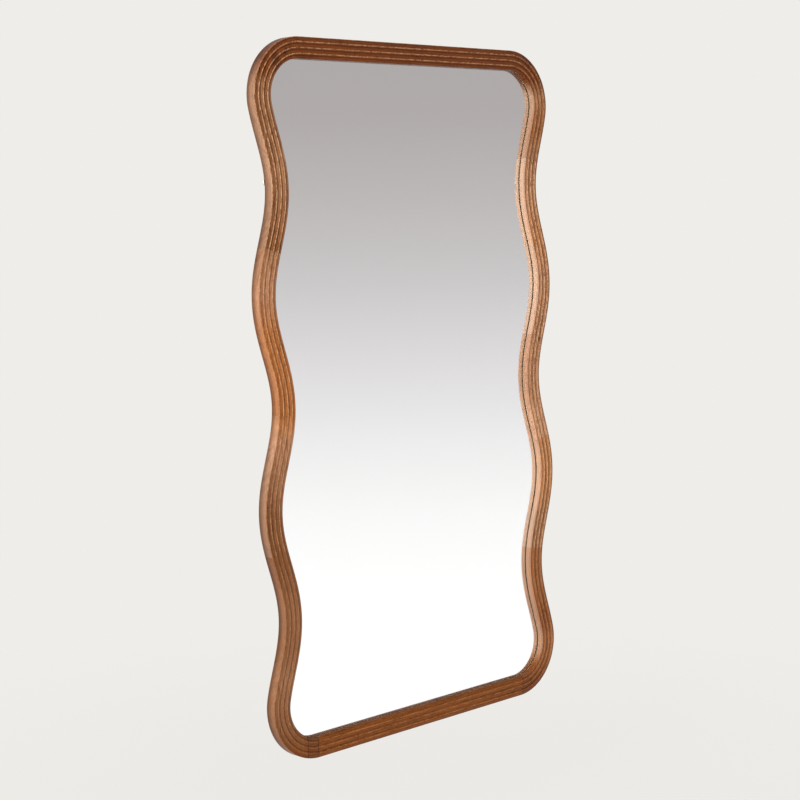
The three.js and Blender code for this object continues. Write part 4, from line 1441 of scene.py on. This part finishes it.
def make_floor():
    """A round pale floor. The camera sees the background's own colour on it, apart from a share
    that is really lit, so that a soft shadow stays under the mirror and fades outwards."""
    angle = np.linspace(0, 2 * np.pi, 96, endpoint=False)
    ring = np.stack([np.cos(angle), np.sin(angle), 0 * angle], axis=1) * FLOOR_RADIUS
    mesh = bpy.data.meshes.new("floor")
    mesh.from_pydata((ring + [0, 0, FLOOR_Z]).tolist(), [], [list(range(len(angle)))])
    floor = new_object("floor", mesh)
    material = bpy.data.materials.new("pale_floor")
    tree = emptied_tree(material)
    place = add(tree, "TexCoord").outputs["Object"]
    flat = add(tree, "VectorMath", {0: place, 1: (1, 1, 0)}, operation="MULTIPLY").outputs[0]
    reach = add(tree, "VectorMath", {0: flat}, operation="LENGTH").outputs["Value"]
    lit_share = spread(tree, reach, SHADOW_START, SHADOW_END, LIT_SHARE, 0.0)
    lit = add(tree, "BsdfDiffuse", {"Color": BACKGROUND}).outputs[0]
    flat_tone = add(tree, "Emission", {"Color": BACKGROUND}).outputs[0]
    seen = add(tree, "LightPath").outputs["Is Camera Ray"]
    shown = add(tree, "MixShader", {0: lit_share, 1: flat_tone, 2: lit}).outputs[0]
    both = add(tree, "MixShader", {0: seen, 1: lit, 2: shown}).outputs[0]
    add(tree, "OutputMaterial", {"Surface": both})
    mesh.materials.append(material)
    floor.visible_glossy = False
    floor.visible_transmission = False


def make_lamp(name, place, target, width, height, watts):
    """A soft rectangular lamp that looks at a target and isn't seen itself."""
    light = bpy.data.lights.new(name, "AREA")
    light.shape = "RECTANGLE"
    light.size = width
    light.size_y = height
    light.energy = watts
    lamp = new_object(name, light)
    lamp.location = place
    lamp.rotation_mode = "QUATERNION"
    lamp.rotation_quaternion = (Vector(target) - Vector(place)).to_track_quat("-Z", "Y")
    lamp.visible_camera = False
    return lamp


make_world()
make_floor()
make_lamp("side_softbox", (-9.0, -1.7, 2.4), (0, 0, 0), 3.5, 5.0, 700)
front_softbox = make_lamp("front_softbox", (-2.0, -4.5, 0.8), (0, 0, 0), 3.0, 3.0, 90)
front_softbox.visible_glossy = False
front_softbox.visible_transmission = False

# %% [markdown]
# ## The camera
#
# The photograph was taken from the left, a little above the mirror's middle, with a long lens.
# The camera's axes are built from three turns: yaw from straight ahead, pitch down, and a small
# roll.

# %% Camera
IMAGE_PIXELS = 800
FOCAL_PIXELS = 1757.49
CAMERA_PLACE = (-3.04426, -3.13878, 0.44456)
YAW, PITCH, ROLL = 0.765467, -0.106756, -0.024451


def make_camera():
    """Forward comes from yaw and pitch, and right and up are then turned by the roll."""
    data = bpy.data.cameras.new("camera")
    data.sensor_width = 36.0
    data.lens = FOCAL_PIXELS * data.sensor_width / IMAGE_PIXELS
    camera = new_object("camera", data)
    ahead = Vector((math.sin(YAW) * math.cos(PITCH), math.cos(YAW) * math.cos(PITCH), math.sin(PITCH)))
    level = ahead.cross(Vector((0, 0, 1))).normalized()
    upright = level.cross(ahead)
    right = level * math.cos(ROLL) + upright * math.sin(ROLL)
    up = upright * math.cos(ROLL) - level * math.sin(ROLL)
    axes = Matrix((right, up, -ahead)).transposed().to_4x4()
    camera.matrix_world = Matrix.Translation(CAMERA_PLACE) @ axes
    bpy.context.scene.camera = camera


make_camera()
bpy.context.scene.view_settings.view_transform = "Standard"

# %% Finish
bpy.context.view_layer.update()
